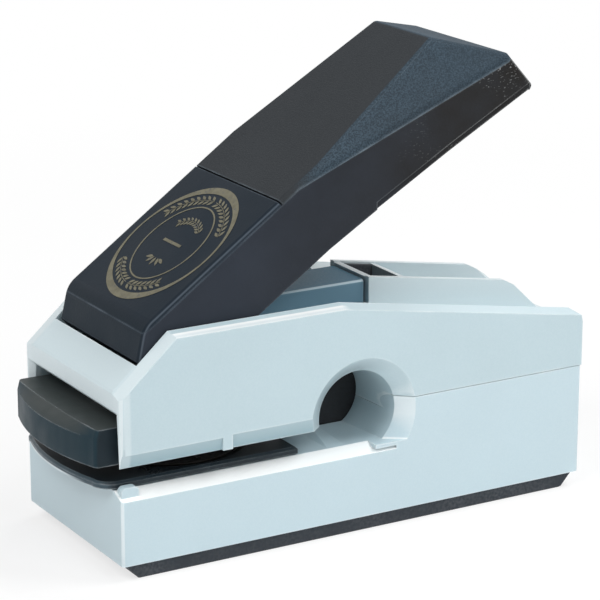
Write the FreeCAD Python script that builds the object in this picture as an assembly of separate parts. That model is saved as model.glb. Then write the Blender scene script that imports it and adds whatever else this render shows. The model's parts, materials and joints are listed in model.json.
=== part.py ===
import FreeCAD, Part
import math
import os

# Desk seal embosser: a hand press that squeezes paper between two round dies.
# Millimetres.  +X runs to the rear of the press, -Y is the right-hand side seen
# from the front, +Z is up.  The origin is the middle of the base on the desk.
# Stations along the press are distances behind the front face of the base.

Vec = FreeCAD.Vector
os.makedirs("parts", exist_ok=True)

# ---------------------------------------------------------------- overall size
base_length = 131.0
base_width = 52.0
pad_height = 4.0
pivot_height = 54.0
crown_height = 4.9
lug_height = 9.5
head_thickness = 4.2
jaw_gap = 6.3
riser_rise = 10.6
brow_run = 14.6
brow_foot_run = 0.5
brow_foot_rise = 1.9
lip_rise = 1.3

# ------------------------------------------------------------------ clearances
slide_gap = 0.3
run_gap = 0.05
seam_gap = 0.15
frame_gap = 0.3
handle_gap = 0.5
loose_gap = 0.25
overlap = 0.3

# ------------------------------------------------------------------- mechanism
pivot_station = 15.5
press_angle = 22.5
ram_stroke = 3.8
roller_radius = 3.5
handle_slope = 35.3

# ------------------------------------------------------------------ base shell
shell_wall = 2.5
base_chamfer_width = 4.0
base_chamfer_height = 1.9
base_corner_radius = 1.0
riser_station = 76.5
riser_foot_setback = 7.0
riser_wall = 4.0
hollow_margin = 1.0
hollow_roof = 2.2
pad_inset_side = 1.2
pad_inset_end = 1.2
pad_slope_length = 3.6
pad_rim = 0.3
plate_thickness = 1.5
lobe_height = 1.2
lobe_start = 0.6
lobe_length = 4.6
lobe_width = 2.2
ridge_station = 58.0
ridge_length = 5.0
ridge_rise = 1.4

# --------------------------------------------------------- round side openings
relief_setback = 10.4
relief_rise = 8.0
relief_radius = 10.8
relief_core_radius = 9.7
relief_bevel_radius = 14.8
relief_bevel_depth = 3.5
roof_wall = 3.0

# -------------------------------------------------------------- upper housing
side_wall = 4.1
edge_slope_width = 4.5
edge_slope_drop = 0.9
nose_corner_radius = 1.2
band_height = 3.6
band_step = 0.25
band_depth = 0.9
band_notch_station = 29.6
band_notch_gap = 2.6
rim_station = 6.4
pocket_length = 70.6
top_end_station = 61.0
deck_slope = 9.75
rear_lip_width = 1.6
rear_lip_height = 2.6
cover_wall = 1.7
cover_drop = 0.3
cover_start = 40.0
cover_round = 0.7
hump_half = 9.3
hump_wall = 1.7
hump_setback = 0.4
hump_front_rise = 0.7
hump_slope = 9.37
hump_shoulder_length = 3.0
hump_shoulder_fall = 1.6
hump_end_length = 8.6
hump_end_fall = 8.3
hump_tail = 1.4
bulkhead_thickness = 1.6
buffer_length = 8.6
buffer_drop = 0.5
buffer_gap = 0.2
buffer_cheek = 1.2
buffer_groove = 0.3
dish_depth = 3.5
window_depth = 50.5
window_side_gap = 0.9
window_end_gap = 0.8
window_flare = 1.4
window_bevel = 1.4

# -------------------------------------------------------------- casting inside
spine_half = 5.8
throat_station = 60.0
arm_start = 6.0
arm_tail = 9.0
arm_rise = 3.0
table_setback = 4.0
table_thickness = 6.0
head_start = 8.0
head_length = 34.0
head_setback = 4.5
beam_start = 37.5
beam_setback = 1.0
beam_cover = 2.6
spine_front_gap = 3.2
spine_back_gap = 3.6
spine_step_station = 80.0
lug_width = 4.0
lug_radius = 4.6
ear_gap = 0.4

# ----------------------------------------------------------- anvil and lower die
anvil_thickness = 4.0
anvil_setback = 3.0
anvil_start = 5.0
key_neck_half = 5.7
key_foot_half = 7.7
key_neck_depth = 1.1
key_foot_depth = 1.0
key_start = 6.3
key_end_gap = 1.5
slot_end_gap = 1.0
tray_margin = 4.0
die_rim_front = 1.0
die_rim_side = 1.35
die_rim_back = 4.0
tray_corner = 5.0
tray_rim = 0.6
tray_front = 3.4
tray_bow = 2.4
tray_thickness = 1.7
lower_die_thickness = 1.2
ornament_height = 0.2
peg_offset = 14.0
peg_radius = 1.0
peg_length = 1.5

# --------------------------------------------------------- ram and upper holder
holder_height = 9.2
holder_front = 4.7
holder_bow = 3.3
holder_front_top = 4.1
holder_bow_top = 0.8
holder_bevel = 2.2
holder_corner = 1.3
holder_back_gap = 1.7
upper_die_thickness = 2.0
platen_thickness = 2.2
platen_start = 6.0
platen_end_gap = 4.0
platen_setback = 7.0
platen_corner = 2.0
hanger_neck_depth = 1.9
hanger_foot_depth = 1.3
shaft_radius = 4.5
spigot_radius = 3.0
cap_radius = 7.0
cap_thickness = 1.5
cap_rim = 0.4
cap_stem_radius = 2.2
cap_stem_length = 5.0
bush_radius = 5.9
bush_rise = 0.5
spring_wire = 0.9
spring_turns = 3.0
spring_base_radius = 9.4
spring_seat_depth = 1.0
spring_seat_margin = 0.4
spring_touch = 0.02

# --------------------------------------- handle outline, measured from the pivot
nose_low = (-8.2, -2.1)
nose_high = (-6.3, 6.2)
seam_run = 29.65
taper_start = (34.9, 35.9)
taper_end = (76.9, 64.9)
taper_inset = 8.4
tail_crease = (94.2, 60.6)
tail_low = (101.5, 52.4)
skirt_line = [(100.4, 50.9), (77.2, 38.1), (56.7, 26.2), (43.3, 18.1), (24.6, 5.2),
              (8.5, -4.7), (0.0, -6.4), (-5.0, -5.4)]

# --------------------------------------------------------------- handle parts
top_wall = 3.6
side_skin = 2.2
skin_thickness = 1.2
seam_groove = 0.5
handle_round = 1.5
nose_round = 6.5
skirt_lip_width = 0.5
skirt_lip_height = 1.8
skirt_lip_run = 52.5
ear_setback = 9.2
ear_thickness = 2.0
ear_radius = 4.6
web_thickness = 2.0
web_start = 2.0
web_length = 44.0
flange_depth = 5.0
roller_eye_radius = 3.4
roller_share = 0.4
rib_thickness = 1.6
rib_depth = 5.0
rib_first = 10.0
rib_pitch = 14.0
rib_count = 3

# ------------------------------------------------------------ pins and fasteners
pivot_pin_radius = 2.5
pin_overhang = 1.6
roller_pin_radius = 2.0
roller_pin_overhang = 1.4
clip_gap = 0.1
clip_thickness = 0.8
clip_radius = 3.9
roller_clip_radius = 3.2
spacer_radius = 3.0
lever_bush_radius = 3.5
screw_radius = 1.5
screw_head_radius = 2.8
screw_head_height = 1.6
screw_hole_gap = 0.2
screw_head_gap = 0.4
screw_slot_half = 2.0
screw_slot_width = 0.6
boss_radius = 4.0
frame_screw_front = 6.0
frame_screw_back = 8.0
frame_screw_offset = 12.0
frame_screw_short = 2.2
housing_screw_front = 13.5
housing_screw_back = 15.0
housing_screw_offset = 15.0
housing_screw_reach = 7.6
anvil_screw_end_inset = 5.0
anvil_screw_side_inset = 4.5
anvil_screw_reach = 4.2
handle_screw_first = 22.0
handle_screw_pitch = 16.0
handle_screw_reach = 1.8
blind_gap = 0.2

# --------------------------------------------------------------- derived sizes
far = 2.0 * base_length
front_x = -base_length / 2.0
half_width = base_width / 2.0
tray_half = half_width - tray_margin
window_half = tray_half + window_side_gap
anvil_half = tray_half - anvil_setback
table_half = tray_half - table_setback
head_half = tray_half - head_setback
platen_half = tray_half - platen_setback
hollow_half = half_width - shell_wall
pocket_half = half_width - side_wall
handle_half = pocket_half - handle_gap
taper_half = handle_half - taper_inset
ear_inner = handle_half - side_skin - ear_setback
roller_half = roller_share * ear_inner
lug_inner = ear_inner + ear_thickness + ear_gap
pivot_pin_half = lug_inner + lug_width + pin_overhang
roller_pin_half = ear_inner + ear_thickness + roller_pin_overhang
cover_half = spine_half + cover_wall
anvil_screw_offset = anvil_half - anvil_screw_side_inset

housing_top = pivot_height + crown_height
floor_height = pivot_height - lug_height
window_top = floor_height - head_thickness
platen_top = window_top - slide_gap
platen_bottom = platen_top - platen_thickness
holder_top = platen_bottom - slide_gap
holder_bottom = holder_top - holder_height
jaw_height = holder_bottom
base_top = jaw_height - jaw_gap
riser_top = base_top + riser_rise
cover_top = housing_top - cover_drop
hump_front_top = housing_top + hump_front_rise
beam_top = cover_top - beam_cover
relief_height = base_top + relief_rise
arm_bottom = pad_height + arm_rise
bush_top = floor_height + bush_rise
anvil_bottom = base_top - anvil_thickness
tray_bottom = base_top + slide_gap
tray_top = tray_bottom + tray_thickness
spring_seat = floor_height - spring_seat_depth

lift = math.radians(press_angle / 2.0)
roller_arm = ram_stroke / (2.0 * math.sin(lift))
ram_station = pivot_station + roller_arm * math.cos(lift)
roller_height = pivot_height + roller_arm * math.sin(lift)
cap_top = roller_height - roller_radius - slide_gap
cap_bottom = cap_top - cap_thickness
spring_top_radius = cap_radius - spring_wire - slide_gap

tray_back = window_depth - window_end_gap
key_end = tray_back - key_end_gap
slot_end = tray_back - slot_end_gap
anvil_end = tray_back + slide_gap
table_end = anvil_end
holder_back = tray_back - holder_back_gap
platen_end = holder_back - platen_end_gap
die_diameter = 2.0 * min(ram_station - tray_front - die_rim_front,
                         tray_half - die_rim_side,
                         tray_back - die_rim_back - ram_station)
die_radius = die_diameter / 2.0
head_end = head_start + head_length
frame_screw_first = head_start + frame_screw_front
frame_screw_pitch = table_end - frame_screw_back - frame_screw_first
anvil_screw_first = anvil_start + anvil_screw_end_inset
anvil_screw_pitch = anvil_end - anvil_screw_end_inset - anvil_screw_first
pocket_end = rim_station + pocket_length
arm_end = base_length - arm_tail
hump_station = pocket_end + hump_setback
beam_end = pocket_end - beam_setback
deck_drop = math.tan(math.radians(deck_slope))
hump_fall = math.tan(math.radians(hump_slope))
hump_length = (base_length - hump_tail - hump_end_length - hump_shoulder_length
               - hump_station)
housing_screw_first = riser_station + housing_screw_front
housing_screw_pitch = base_length - housing_screw_back - housing_screw_first
relief_station = riser_station - relief_setback
riser_foot_station = riser_station - riser_foot_setback
spine_shoulder = housing_top - dish_depth - spine_front_gap
spine_shoulder -= deck_drop * (spine_step_station - top_end_station)
spine_back_top = housing_top - dish_depth - spine_back_gap
spine_back_top -= deck_drop * (arm_end - top_end_station)
hollow_front = riser_station + riser_wall
well_end = hump_station + bulkhead_thickness + buffer_gap + buffer_length + buffer_gap
slope = math.radians(handle_slope)
along = (math.cos(slope), math.sin(slope))
up_from_top = (-math.sin(slope), math.cos(slope))


def px(station):
    """Frame X of a distance behind the front face of the base."""
    return front_x + station


def from_pivot(point):
    """Station and height of a point given by its offsets from the pivot."""
    return pivot_station + point[0], pivot_height + point[1]


def deck_height(station):
    """Height of the sloping rear deck at a station."""
    return housing_top - deck_drop * max(0.0, station - top_end_station)


def deck_line(station):
    """Height of the rear deck slope, carried on beyond the ends of the deck."""
    return housing_top - deck_drop * (station - top_end_station)


def box(d0, d1, y0, y1, z0, z1):
    """Box between two stations, two Y values and two heights."""
    return Part.makeBox(d1 - d0, y1 - y0, z1 - z0, Vec(px(d0), y0, z0))


def band(d0, d1, half, z0, z1):
    """Box centred on the middle plane."""
    return box(d0, d1, -half, half, z0, z1)


def profile(points, y0, y1):
    """Side outline of (station, height) points, extruded from y0 to y1."""
    corners = [Vec(px(d), y0, z) for d, z in points]
    face = Part.Face(Part.makePolygon(corners + corners[:1]))
    return face.extrude(Vec(0, y1 - y0, 0))


def rod_y(station, height, radius, y0, y1):
    """Cylinder lying along Y."""
    return Part.makeCylinder(radius, y1 - y0, Vec(px(station), y0, height), Vec(0, 1, 0))


def rod_z(station, y, radius, z0, z1):
    """Upright cylinder."""
    return Part.makeCylinder(radius, z1 - z0, Vec(px(station), y, z0), Vec(0, 0, 1))


def both_sides(shape):
    """The shape and its mirror image on the other side of the middle plane."""
    return [shape, shape.mirror(Vec(0, 0, 0), Vec(0, 1, 0))]


def join(first, others):
    """Fuse a list of shapes onto the first one and clean the seams."""
    return first.fuse(others).removeSplitter()


def cut_beyond(shape, point, normal):
    """Remove everything on the normal side of a plane."""
    block = Part.makeBox(2 * far, 2 * far, far, Vec(-far, -far, 0))
    turn = FreeCAD.Rotation(Vec(0, 0, 1), normal)
    block.Placement = FreeCAD.Placement(point, turn)
    return shape.cut(block)


def save(name, shape):
    """Write one named piece, or a set of identical pieces, to its own file."""
    pieces = Part.makeCompound(shape) if isinstance(shape, list) else shape
    pieces.exportStep("parts/%s.step" % name)
    solids = pieces.Solids
    print("%-18s solids %2d valid %s volume %9.1f" % (
        name, len(solids), pieces.isValid(), sum(s.Volume for s in solids)))


def relief_tool():
    """Round opening with a wide bevel on each side face."""
    centre = Vec(px(relief_station), 0, relief_height)
    bore = Part.makeCone(relief_core_radius, relief_radius,
                         half_width - relief_bevel_depth - spine_half,
                         centre + Vec(0, spine_half, 0), Vec(0, 1, 0))
    tool = rod_y(relief_station, relief_height, relief_core_radius, -spine_half - 1,
                 spine_half + 1)
    step = (relief_bevel_radius - relief_radius) / relief_bevel_depth
    cone = Part.makeCone(relief_radius, relief_bevel_radius + step, relief_bevel_depth + 1.0,
                         Vec(px(relief_station), half_width - relief_bevel_depth, relief_height),
                         Vec(0, 1, 0))
    return join(tool, both_sides(cone) + both_sides(bore))


# ------------------------------------------------------------ foot and base
def build_foot_pad():
    back = base_length - pad_inset_end
    reach = half_width - pad_inset_side
    pad = profile([(pad_inset_end, pad_height), (back, pad_height),
                   (back - pad_slope_length, 0), (pad_inset_end + pad_slope_length, 0)],
                  -reach, reach)
    rim = [e for e in pad.Edges if e.BoundBox.ZMax < 0.01]
    pad = pad.makeChamfer(pad_rim, rim)
    for d, y in frame_screw_spots() + housing_screw_spots():
        pad = pad.cut(rod_z(d, y, screw_head_radius + screw_head_gap,
                            pad_height - screw_head_height - screw_head_gap, pad_height + 1))
    return pad


def screw_square(first, pitch, offset):
    """Four screw places: two stations, each on both sides of the middle plane."""
    return [(first + n * pitch, side * offset) for n in (0, 1) for side in (-1, 1)]


def frame_screw_spots():
    return screw_square(frame_screw_first, frame_screw_pitch, frame_screw_offset)


def housing_screw_spots():
    return screw_square(housing_screw_first, housing_screw_pitch, housing_screw_offset)


def anvil_screw_spots():
    return screw_square(anvil_screw_first, anvil_screw_pitch, anvil_screw_offset)


def handle_screw_distances():
    return [handle_screw_first + n * handle_screw_pitch for n in (0, 1)]


def build_bottom_plate():
    plate = band(shell_wall + loose_gap, base_length - shell_wall - loose_gap,
                 hollow_half - loose_gap, pad_height, pad_height + plate_thickness)
    for d, y in frame_screw_spots() + housing_screw_spots():
        plate = plate.cut(rod_z(d, y, screw_radius + screw_hole_gap, pad_height - 1,
                                pad_height + plate_thickness + 1))
    return plate


def build_base_shell():
    body = profile([(0, pad_height), (base_length, pad_height), (base_length, riser_top),
                    (riser_station, riser_top), (riser_station, base_top), (0, base_top)],
                   -half_width, half_width)
    corners = [e for e in body.Edges
               if abs(e.tangentAt(e.FirstParameter).z) > 0.9
               and abs(e.CenterOfMass.y) > half_width - 0.1
               and (e.CenterOfMass.x < front_x + 0.1 or e.CenterOfMass.x > -front_x - 0.1)]
    body = body.makeFillet(base_corner_radius, corners)
    wedge = Part.Face(Part.makePolygon([
        Vec(front_x - 1, half_width + 0.01, base_top - base_chamfer_height),
        Vec(front_x - 1, half_width + 2, base_top - base_chamfer_height),
        Vec(front_x - 1, half_width + 2, base_top + 0.5),
        Vec(front_x - 1, half_width - base_chamfer_width, base_top + 0.01),
        Vec(front_x - 1, half_width + 0.01, base_top - base_chamfer_height)]))
    wedge = wedge.extrude(Vec(riser_station, 0, 0))
    for side in both_sides(wedge):
        body = body.cut(side)
    step = band(riser_foot_station, riser_station + 1.0, half_width, base_top - 1.0,
                jaw_height - seam_gap)
    body = join(body, both_sides(build_lobe()) + [build_ridge(), step])
    upper = band(0, base_length, half_width + 5, base_top, riser_top + relief_radius)
    body = body.cut(relief_tool().common(upper).cut(build_ridge()))
    body = body.cut(band(shell_wall, hollow_front, hollow_half, pad_height - 1, anvil_bottom))
    body = body.cut(band(hollow_front - 0.5, base_length - shell_wall, hollow_half,
                         pad_height - 1, riser_top - roof_wall))
    posts = []
    for d, y in housing_screw_spots():
        posts.append(rod_z(d, y, boss_radius, pad_height + plate_thickness, riser_top - 1.0))
    body = join(body, posts)
    body = body.cut(band(throat_station - frame_gap, arm_end + frame_gap,
                         spine_half + frame_gap, arm_bottom, riser_top + 1))
    body = body.cut(band(anvil_start, anvil_end, anvil_half + loose_gap,
                         anvil_bottom - 1, base_top + 1))
    for d, y in housing_screw_spots():
        body = body.cut(rod_z(d, y, screw_radius, pad_height, riser_top + 1))
    return body.cut(key_slot(-1.0, slot_end))


def build_lobe():
    """Small rounded bump beside the front corner of the tray."""
    inner = tray_half + 2 * slide_gap
    lobe = box(lobe_start, lobe_start + lobe_length, inner, inner + lobe_width,
               base_top - base_chamfer_height, base_top + lobe_height)
    ends = [e for e in lobe.Edges
            if e.CenterOfMass.z > base_top + lobe_height - 0.1
            and abs(e.tangentAt(e.FirstParameter).y) > 0.9]
    return lobe.makeFillet(lobe_height, ends)


def build_ridge():
    """Low arched ridge that stops the paper at the back of the throat."""
    crest = ridge_station + 0.65 * ridge_length
    end = ridge_station + ridge_length
    reach = tray_half
    ridge = profile([(ridge_station, base_top - 1), (ridge_station, base_top),
                     (crest, base_top + ridge_rise + 0.2), (end - 0.6, base_top + ridge_rise),
                     (end, base_top), (end, base_top - 1)], -reach, reach)
    sweep = (reach ** 2 + ridge_rise ** 2) / (2 * ridge_rise)
    drum = Part.makeCylinder(sweep, ridge_length + 2,
                             Vec(px(ridge_station - 1), 0, base_top + ridge_rise - sweep),
                             Vec(1, 0, 0))
    return ridge.common(drum)


def key_slot(d0, d1):
    """T-shaped slot that the key of the lower tray runs in."""
    neck = band(d0, d1, key_neck_half + slide_gap, base_top - key_neck_depth, base_top + 1)
    foot_top = base_top - key_neck_depth + slide_gap
    foot = band(d0, d1, key_foot_half + slide_gap,
                foot_top - key_foot_depth - 3 * slide_gap, foot_top)
    return join(neck, [foot])


# ---------------------------------------------------------------- casting
def build_c_frame():
    outline = [(arm_start, arm_bottom), (arm_end, arm_bottom), (arm_end, spine_back_top),
               (spine_step_station, spine_shoulder), (beam_end, spine_shoulder), (beam_end, beam_top),
               (beam_start, beam_top), (beam_start, window_top),
               (throat_station, window_top), (throat_station, anvil_bottom),
               (arm_start, anvil_bottom)]
    spine = profile(outline, -spine_half, spine_half)
    table = band(arm_start, table_end, table_half, anvil_bottom - table_thickness,
                 anvil_bottom)
    head = band(head_start, head_end, head_half, window_top, floor_height)
    extras = [table, head]
    for side in (-1, 1):
        y0 = side * lug_inner if side > 0 else -lug_inner - lug_width
        extras.append(box(pivot_station - lug_radius, pivot_station + lug_radius,
                          y0, y0 + lug_width, floor_height - overlap, pivot_height))
        extras.append(rod_y(pivot_station, pivot_height, lug_radius, y0, y0 + lug_width))
    for d, y in frame_screw_spots():
        extras.append(rod_z(d, y, boss_radius, pad_height + plate_thickness,
                            anvil_bottom - table_thickness + overlap))
    frame = join(spine, extras)
    frame = frame.cut(rod_y(pivot_station, pivot_height, pivot_pin_radius,
                            -lug_inner - lug_width - 1, lug_inner + lug_width + 1))
    frame = frame.cut(rod_z(ram_station, 0, bush_radius, window_top - 1, floor_height + 1))
    frame = frame.cut(rod_z(ram_station, 0,
                            spring_base_radius + spring_wire + spring_seat_margin,
                            spring_seat, floor_height + 1))
    for d, y in frame_screw_spots():
        frame = frame.cut(rod_z(d, y, screw_radius, pad_height,
                                anvil_bottom - frame_screw_short + blind_gap))
    for d, y in anvil_screw_spots():
        frame = frame.cut(rod_z(d, y, screw_radius,
                                anvil_bottom - anvil_screw_reach - blind_gap, anvil_bottom + 1))
    return frame


def build_anvil_plate():
    plate = band(anvil_start + loose_gap, anvil_end - loose_gap, anvil_half, anvil_bottom,
                 base_top)
    plate = plate.cut(key_slot(-1.0, slot_end))
    for d, y in anvil_screw_spots():
        plate = plate.cut(rod_z(d, y, screw_radius, anvil_bottom - 1, base_top + 1))
        plate = plate.cut(Part.makeCone(screw_radius, screw_head_radius, screw_head_height,
                                        Vec(px(d), y, base_top - screw_head_height),
                                        Vec(0, 0, 1)))
    return plate


# ------------------------------------------------------------ upper housing
def housing_outline():
    rear = base_length
    return [(0, jaw_height), (riser_station, jaw_height),
            (riser_station, riser_top + seam_gap), (rear, riser_top + seam_gap),
            (rear, deck_height(rear) - rear_lip_height),
            (rear - rear_lip_width / 4.0, deck_height(rear) - rear_lip_height / 3.0),
            (rear - rear_lip_width, deck_height(rear - rear_lip_width)),
            (top_end_station, housing_top), (brow_run, housing_top),
            (brow_foot_run, floor_height + brow_foot_rise), (0, floor_height + lip_rise)]


def slope_outer_edges(body):
    """Ease the long top edges with a broad, nearly flat slope on both sides."""
    tilt = math.atan2(edge_slope_drop, edge_slope_width)
    front_pitch = math.atan2(housing_top - floor_height - brow_foot_rise,
                             brow_run - brow_foot_run)
    rear_point = (base_length, deck_height(base_length))
    pitches = [(0.0, (top_end_station, housing_top)),
               (-math.radians(deck_slope), rear_point),
               (front_pitch, (brow_run, housing_top))]
    for pitch, (station, height) in pitches:
        for side in (-1, 1):
            normal = Vec(-math.sin(pitch) * math.cos(tilt), side * math.sin(tilt),
                         math.cos(pitch) * math.cos(tilt))
            point = Vec(px(station), side * (half_width - edge_slope_width), height)
            body = cut_beyond(body, point, normal)
    return body


def dish_tool():
    """Wedge that dishes the rear deck down towards the hump on one side."""
    sections = []
    for station in (pocket_end - 0.01, base_length + 1.0):
        z = deck_line(station)
        corners = [Vec(px(station), pocket_half, z), Vec(px(station), pocket_half, z + 9),
                   Vec(px(station), hump_half - hump_wall, z + 9),
                   Vec(px(station), hump_half - hump_wall, z - dish_depth),
                   Vec(px(station), hump_half, z - dish_depth)]
        sections.append(Part.makePolygon(corners + corners[:1]))
    return Part.makeLoft(sections, True, True)


def well_block(start, end, half, depth, drop):
    """Block across the space between the fins, its top and foot along their slopes."""
    foot = [deck_line(d) - depth for d in (start, end)]
    top = [hump_front_top - drop - hump_fall * (d - hump_station) for d in (start, end)]
    return profile([(start, foot[0]), (end, foot[1]), (end, top[1]), (start, top[0])],
                   -half, half)


def build_upper_housing():
    body = slope_outer_edges(profile(housing_outline(), -half_width, half_width))
    fronts = [e for e in body.Edges
              if e.BoundBox.XMax < front_x + 0.1
              and abs(e.tangentAt(e.FirstParameter).z) > 0.9
              and e.Length > 5.0]
    body = body.makeFillet(nose_corner_radius, fronts)
    body = body.cut(band(rim_station, pocket_end, pocket_half, floor_height, housing_top + 9))
    for tool in both_sides(dish_tool()):
        body = body.cut(tool)
    floor_front = deck_line(pocket_end - 1.0) - dish_depth
    floor_back = deck_line(base_length + 2.0) - dish_depth
    body = body.cut(profile([(pocket_end - 1.0, floor_front), (base_length + 2.0, floor_back),
                             (base_length + 2.0, far), (pocket_end - 1.0, far)],
                            -hump_half - 0.01, hump_half + 0.01))
    root = dish_depth + overlap
    fin_top = [(hump_station, hump_front_top)]
    for run, fall in ((hump_length, hump_length * hump_fall), (hump_shoulder_length, hump_shoulder_fall),
                      (hump_end_length, hump_end_fall)):
        fin_top.append((fin_top[-1][0] + run, fin_top[-1][1] - fall))
    fin_end = fin_top[-1][0]
    fin = profile([(hump_station, deck_line(hump_station) - root)] + fin_top
                  + [(fin_end, deck_line(fin_end) - root)], hump_half - hump_wall, hump_half)
    bulkhead = band(hump_station, hump_station + bulkhead_thickness, hump_half - blind_gap,
                    floor_height, hump_front_top - overlap)
    wall = well_block(well_end, well_end + bulkhead_thickness, hump_half - blind_gap,
                      dish_depth + overlap, overlap)
    body = join(body, both_sides(fin) + [bulkhead, wall])
    # die chamber, open at the front and below
    section = [Vec(px(-1.0), -window_half - window_flare, jaw_height - 1),
               Vec(px(-1.0), -window_half, window_top), Vec(px(-1.0), window_half, window_top),
               Vec(px(-1.0), window_half + window_flare, jaw_height - 1)]
    chamber = Part.Face(Part.makePolygon(section + section[:1]))
    body = body.cut(chamber.extrude(Vec(window_depth + 1.0, 0, 0)))
    body = body.cut(window_bevel_tool())
    for tool in both_sides(band_tool()):
        body = body.cut(tool)
    body = body.cut(relief_tool())
    # rear hollow with screw posts
    body = body.cut(rear_hollow())
    posts = []
    for d, y in housing_screw_spots():
        roof = deck_height(d) - dish_depth - shell_wall + overlap
        posts.append(rod_z(d, y, boss_radius, riser_top + seam_gap, roof))
    body = join(body, posts)
    # room for the casting
    body = body.cut(band(head_start - frame_gap, head_end + frame_gap, head_half + frame_gap,
                         window_top - 1, floor_height + 1))
    slot = spine_half + frame_gap
    body = body.cut(band(beam_start - frame_gap, beam_end + frame_gap, slot, window_top - 1,
                         beam_top + frame_gap))
    body = body.cut(band(throat_station - frame_gap, hollow_front + 1.0, slot, jaw_height - 1,
                         spine_shoulder + frame_gap))
    for d, y in housing_screw_spots():
        body = body.cut(rod_z(d, y, screw_radius, riser_top - 1,
                              riser_top + housing_screw_reach + blind_gap))
    return body


def window_bevel_tool():
    """Bevel round the front edge of the die chamber opening."""
    grow = window_bevel
    sections = []
    for station, extra in ((-0.01, grow), (grow, 0.0)):
        half_low = window_half + window_flare + extra * 0.6
        corners = [Vec(px(station), -half_low, jaw_height - 1),
                   Vec(px(station), -window_half - extra, window_top + extra),
                   Vec(px(station), window_half + extra, window_top + extra),
                   Vec(px(station), half_low, jaw_height - 1)]
        sections.append(Part.makePolygon(corners + corners[:1]))
    return Part.makeLoft(sections, True, True)


def band_tool():
    """Step and inward slope along the lower edge of one side face."""
    strips = []
    for d0, d1, height in ((-1.0, band_notch_station - band_notch_gap, band_height - 0.4),
                           (band_notch_station, riser_station, band_height)):
        corners = [Vec(px(d0), half_width - band_depth, jaw_height - 0.01),
                   Vec(px(d0), half_width + 1, jaw_height - 0.01),
                   Vec(px(d0), half_width + 1, jaw_height + height),
                   Vec(px(d0), half_width - band_step, jaw_height + height)]
        face = Part.Face(Part.makePolygon(corners + corners[:1]))
        strips.append(face.extrude(Vec(d1 - d0, 0, 0)))
    return join(strips[0], strips[1:])


def rear_hollow():
    back = base_length - shell_wall - hollow_margin
    roof = dish_depth + hollow_roof
    half = hollow_half - hollow_margin
    return profile([(hollow_front, riser_top - 1), (back, riser_top - 1),
                    (back, deck_height(back) - roof),
                    (hollow_front, deck_height(hollow_front) - roof)], -half, half)


# --------------------------------------------------------- lower die tray
def bowed_plate(front, bow, back, half, corner, z):
    """Closed outline with a bowed front edge at one height."""
    left = Vec(px(-front + corner), half, z)
    a = Vec(px(-front), half - corner, z)
    middle = Vec(px(-front - bow), 0, z)
    b = Vec(px(-front), -half + corner, z)
    right = Vec(px(-front + corner), -half, z)
    knee = corner * (1 - math.sqrt(0.5))
    knee_l = Vec(px(-front + knee), half - knee, z)
    knee_r = Vec(px(-front + knee), -half + knee, z)
    back_r = Vec(px(back), -half, z)
    back_l = Vec(px(back), half, z)
    edges = [Part.Arc(left, knee_l, a).toShape(), Part.Arc(a, middle, b).toShape(),
             Part.Arc(b, knee_r, right).toShape(), Part.makeLine(right, back_r),
             Part.makeLine(back_r, back_l), Part.makeLine(back_l, left)]
    return Part.Wire(edges)


def build_lower_tray():
    outline = bowed_plate(tray_front, tray_bow, tray_back, tray_half, tray_corner, tray_bottom)
    tray = Part.Face(outline).extrude(Vec(0, 0, tray_thickness - tray_rim))
    low = bowed_plate(tray_front, tray_bow, tray_back, tray_half, tray_corner,
                      tray_top - tray_rim)
    high = bowed_plate(tray_front - tray_rim, tray_bow, tray_back - tray_rim,
                       tray_half - tray_rim, tray_corner - tray_rim, tray_top)
    tray = join(tray, [Part.makeLoft([low, high], True, True)])
    key_bottom = tray_bottom - slide_gap - key_neck_depth
    neck = band(key_start, key_end, key_neck_half, key_bottom, tray_bottom + overlap)
    foot = band(key_start, key_end, key_foot_half, key_bottom - key_foot_depth, key_bottom)
    tray = join(tray, [neck, foot])
    tray = tray.cut(rod_z(ram_station, 0, die_radius, tray_top - lower_die_thickness,
                          tray_top + 1))
    for side in (-1, 1):
        tray = tray.cut(rod_z(ram_station, side * peg_offset, peg_radius, tray_bottom - 0.1,
                              tray_top + 1))
    return tray


def die_rings(z0, z1, spread):
    """Plain raised ornament of two rings and a wreath of short bars."""
    rings = []
    for outer, inner in ((0.94, 0.90), (0.66, 0.63)):
        r_out = die_radius * outer + spread
        r_in = die_radius * inner - spread
        rings.append(rod_z(ram_station, 0, r_out, z0, z1).cut(
            rod_z(ram_station, 0, r_in, z0 - 1, z1 + 1)))
    bars = 12
    for index in range(bars):
        bar = box(ram_station + 0.70 * die_radius - spread, ram_station + 0.83 * die_radius + spread,
                  -0.6 - spread, 0.6 + spread, z0, z1)
        bar.rotate(Vec(px(ram_station), 0, 0), Vec(0, 0, 1), index * 360.0 / bars)
        rings.append(bar)
    return rings


def build_lower_die():
    bottom = tray_top - lower_die_thickness
    disc = rod_z(ram_station, 0, die_radius, bottom, tray_top)
    pegs = [rod_z(ram_station, side * peg_offset, peg_radius, tray_bottom, bottom + overlap)
            for side in (-1, 1)]
    return join(disc, pegs + die_rings(tray_top - overlap, tray_top + ornament_height, 0.0))


def build_upper_die():
    disc = rod_z(ram_station, 0, die_radius, holder_bottom,
                 holder_bottom + upper_die_thickness)
    for ring in die_rings(holder_bottom - 1.0, holder_bottom + 2 * ornament_height,
                          ornament_height):
        disc = disc.cut(ring)
    pegs = [rod_z(ram_station, side * peg_offset, peg_radius,
                  holder_bottom + upper_die_thickness - overlap,
                  holder_bottom + upper_die_thickness + peg_length) for side in (-1, 1)]
    return join(disc, pegs)


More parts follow.
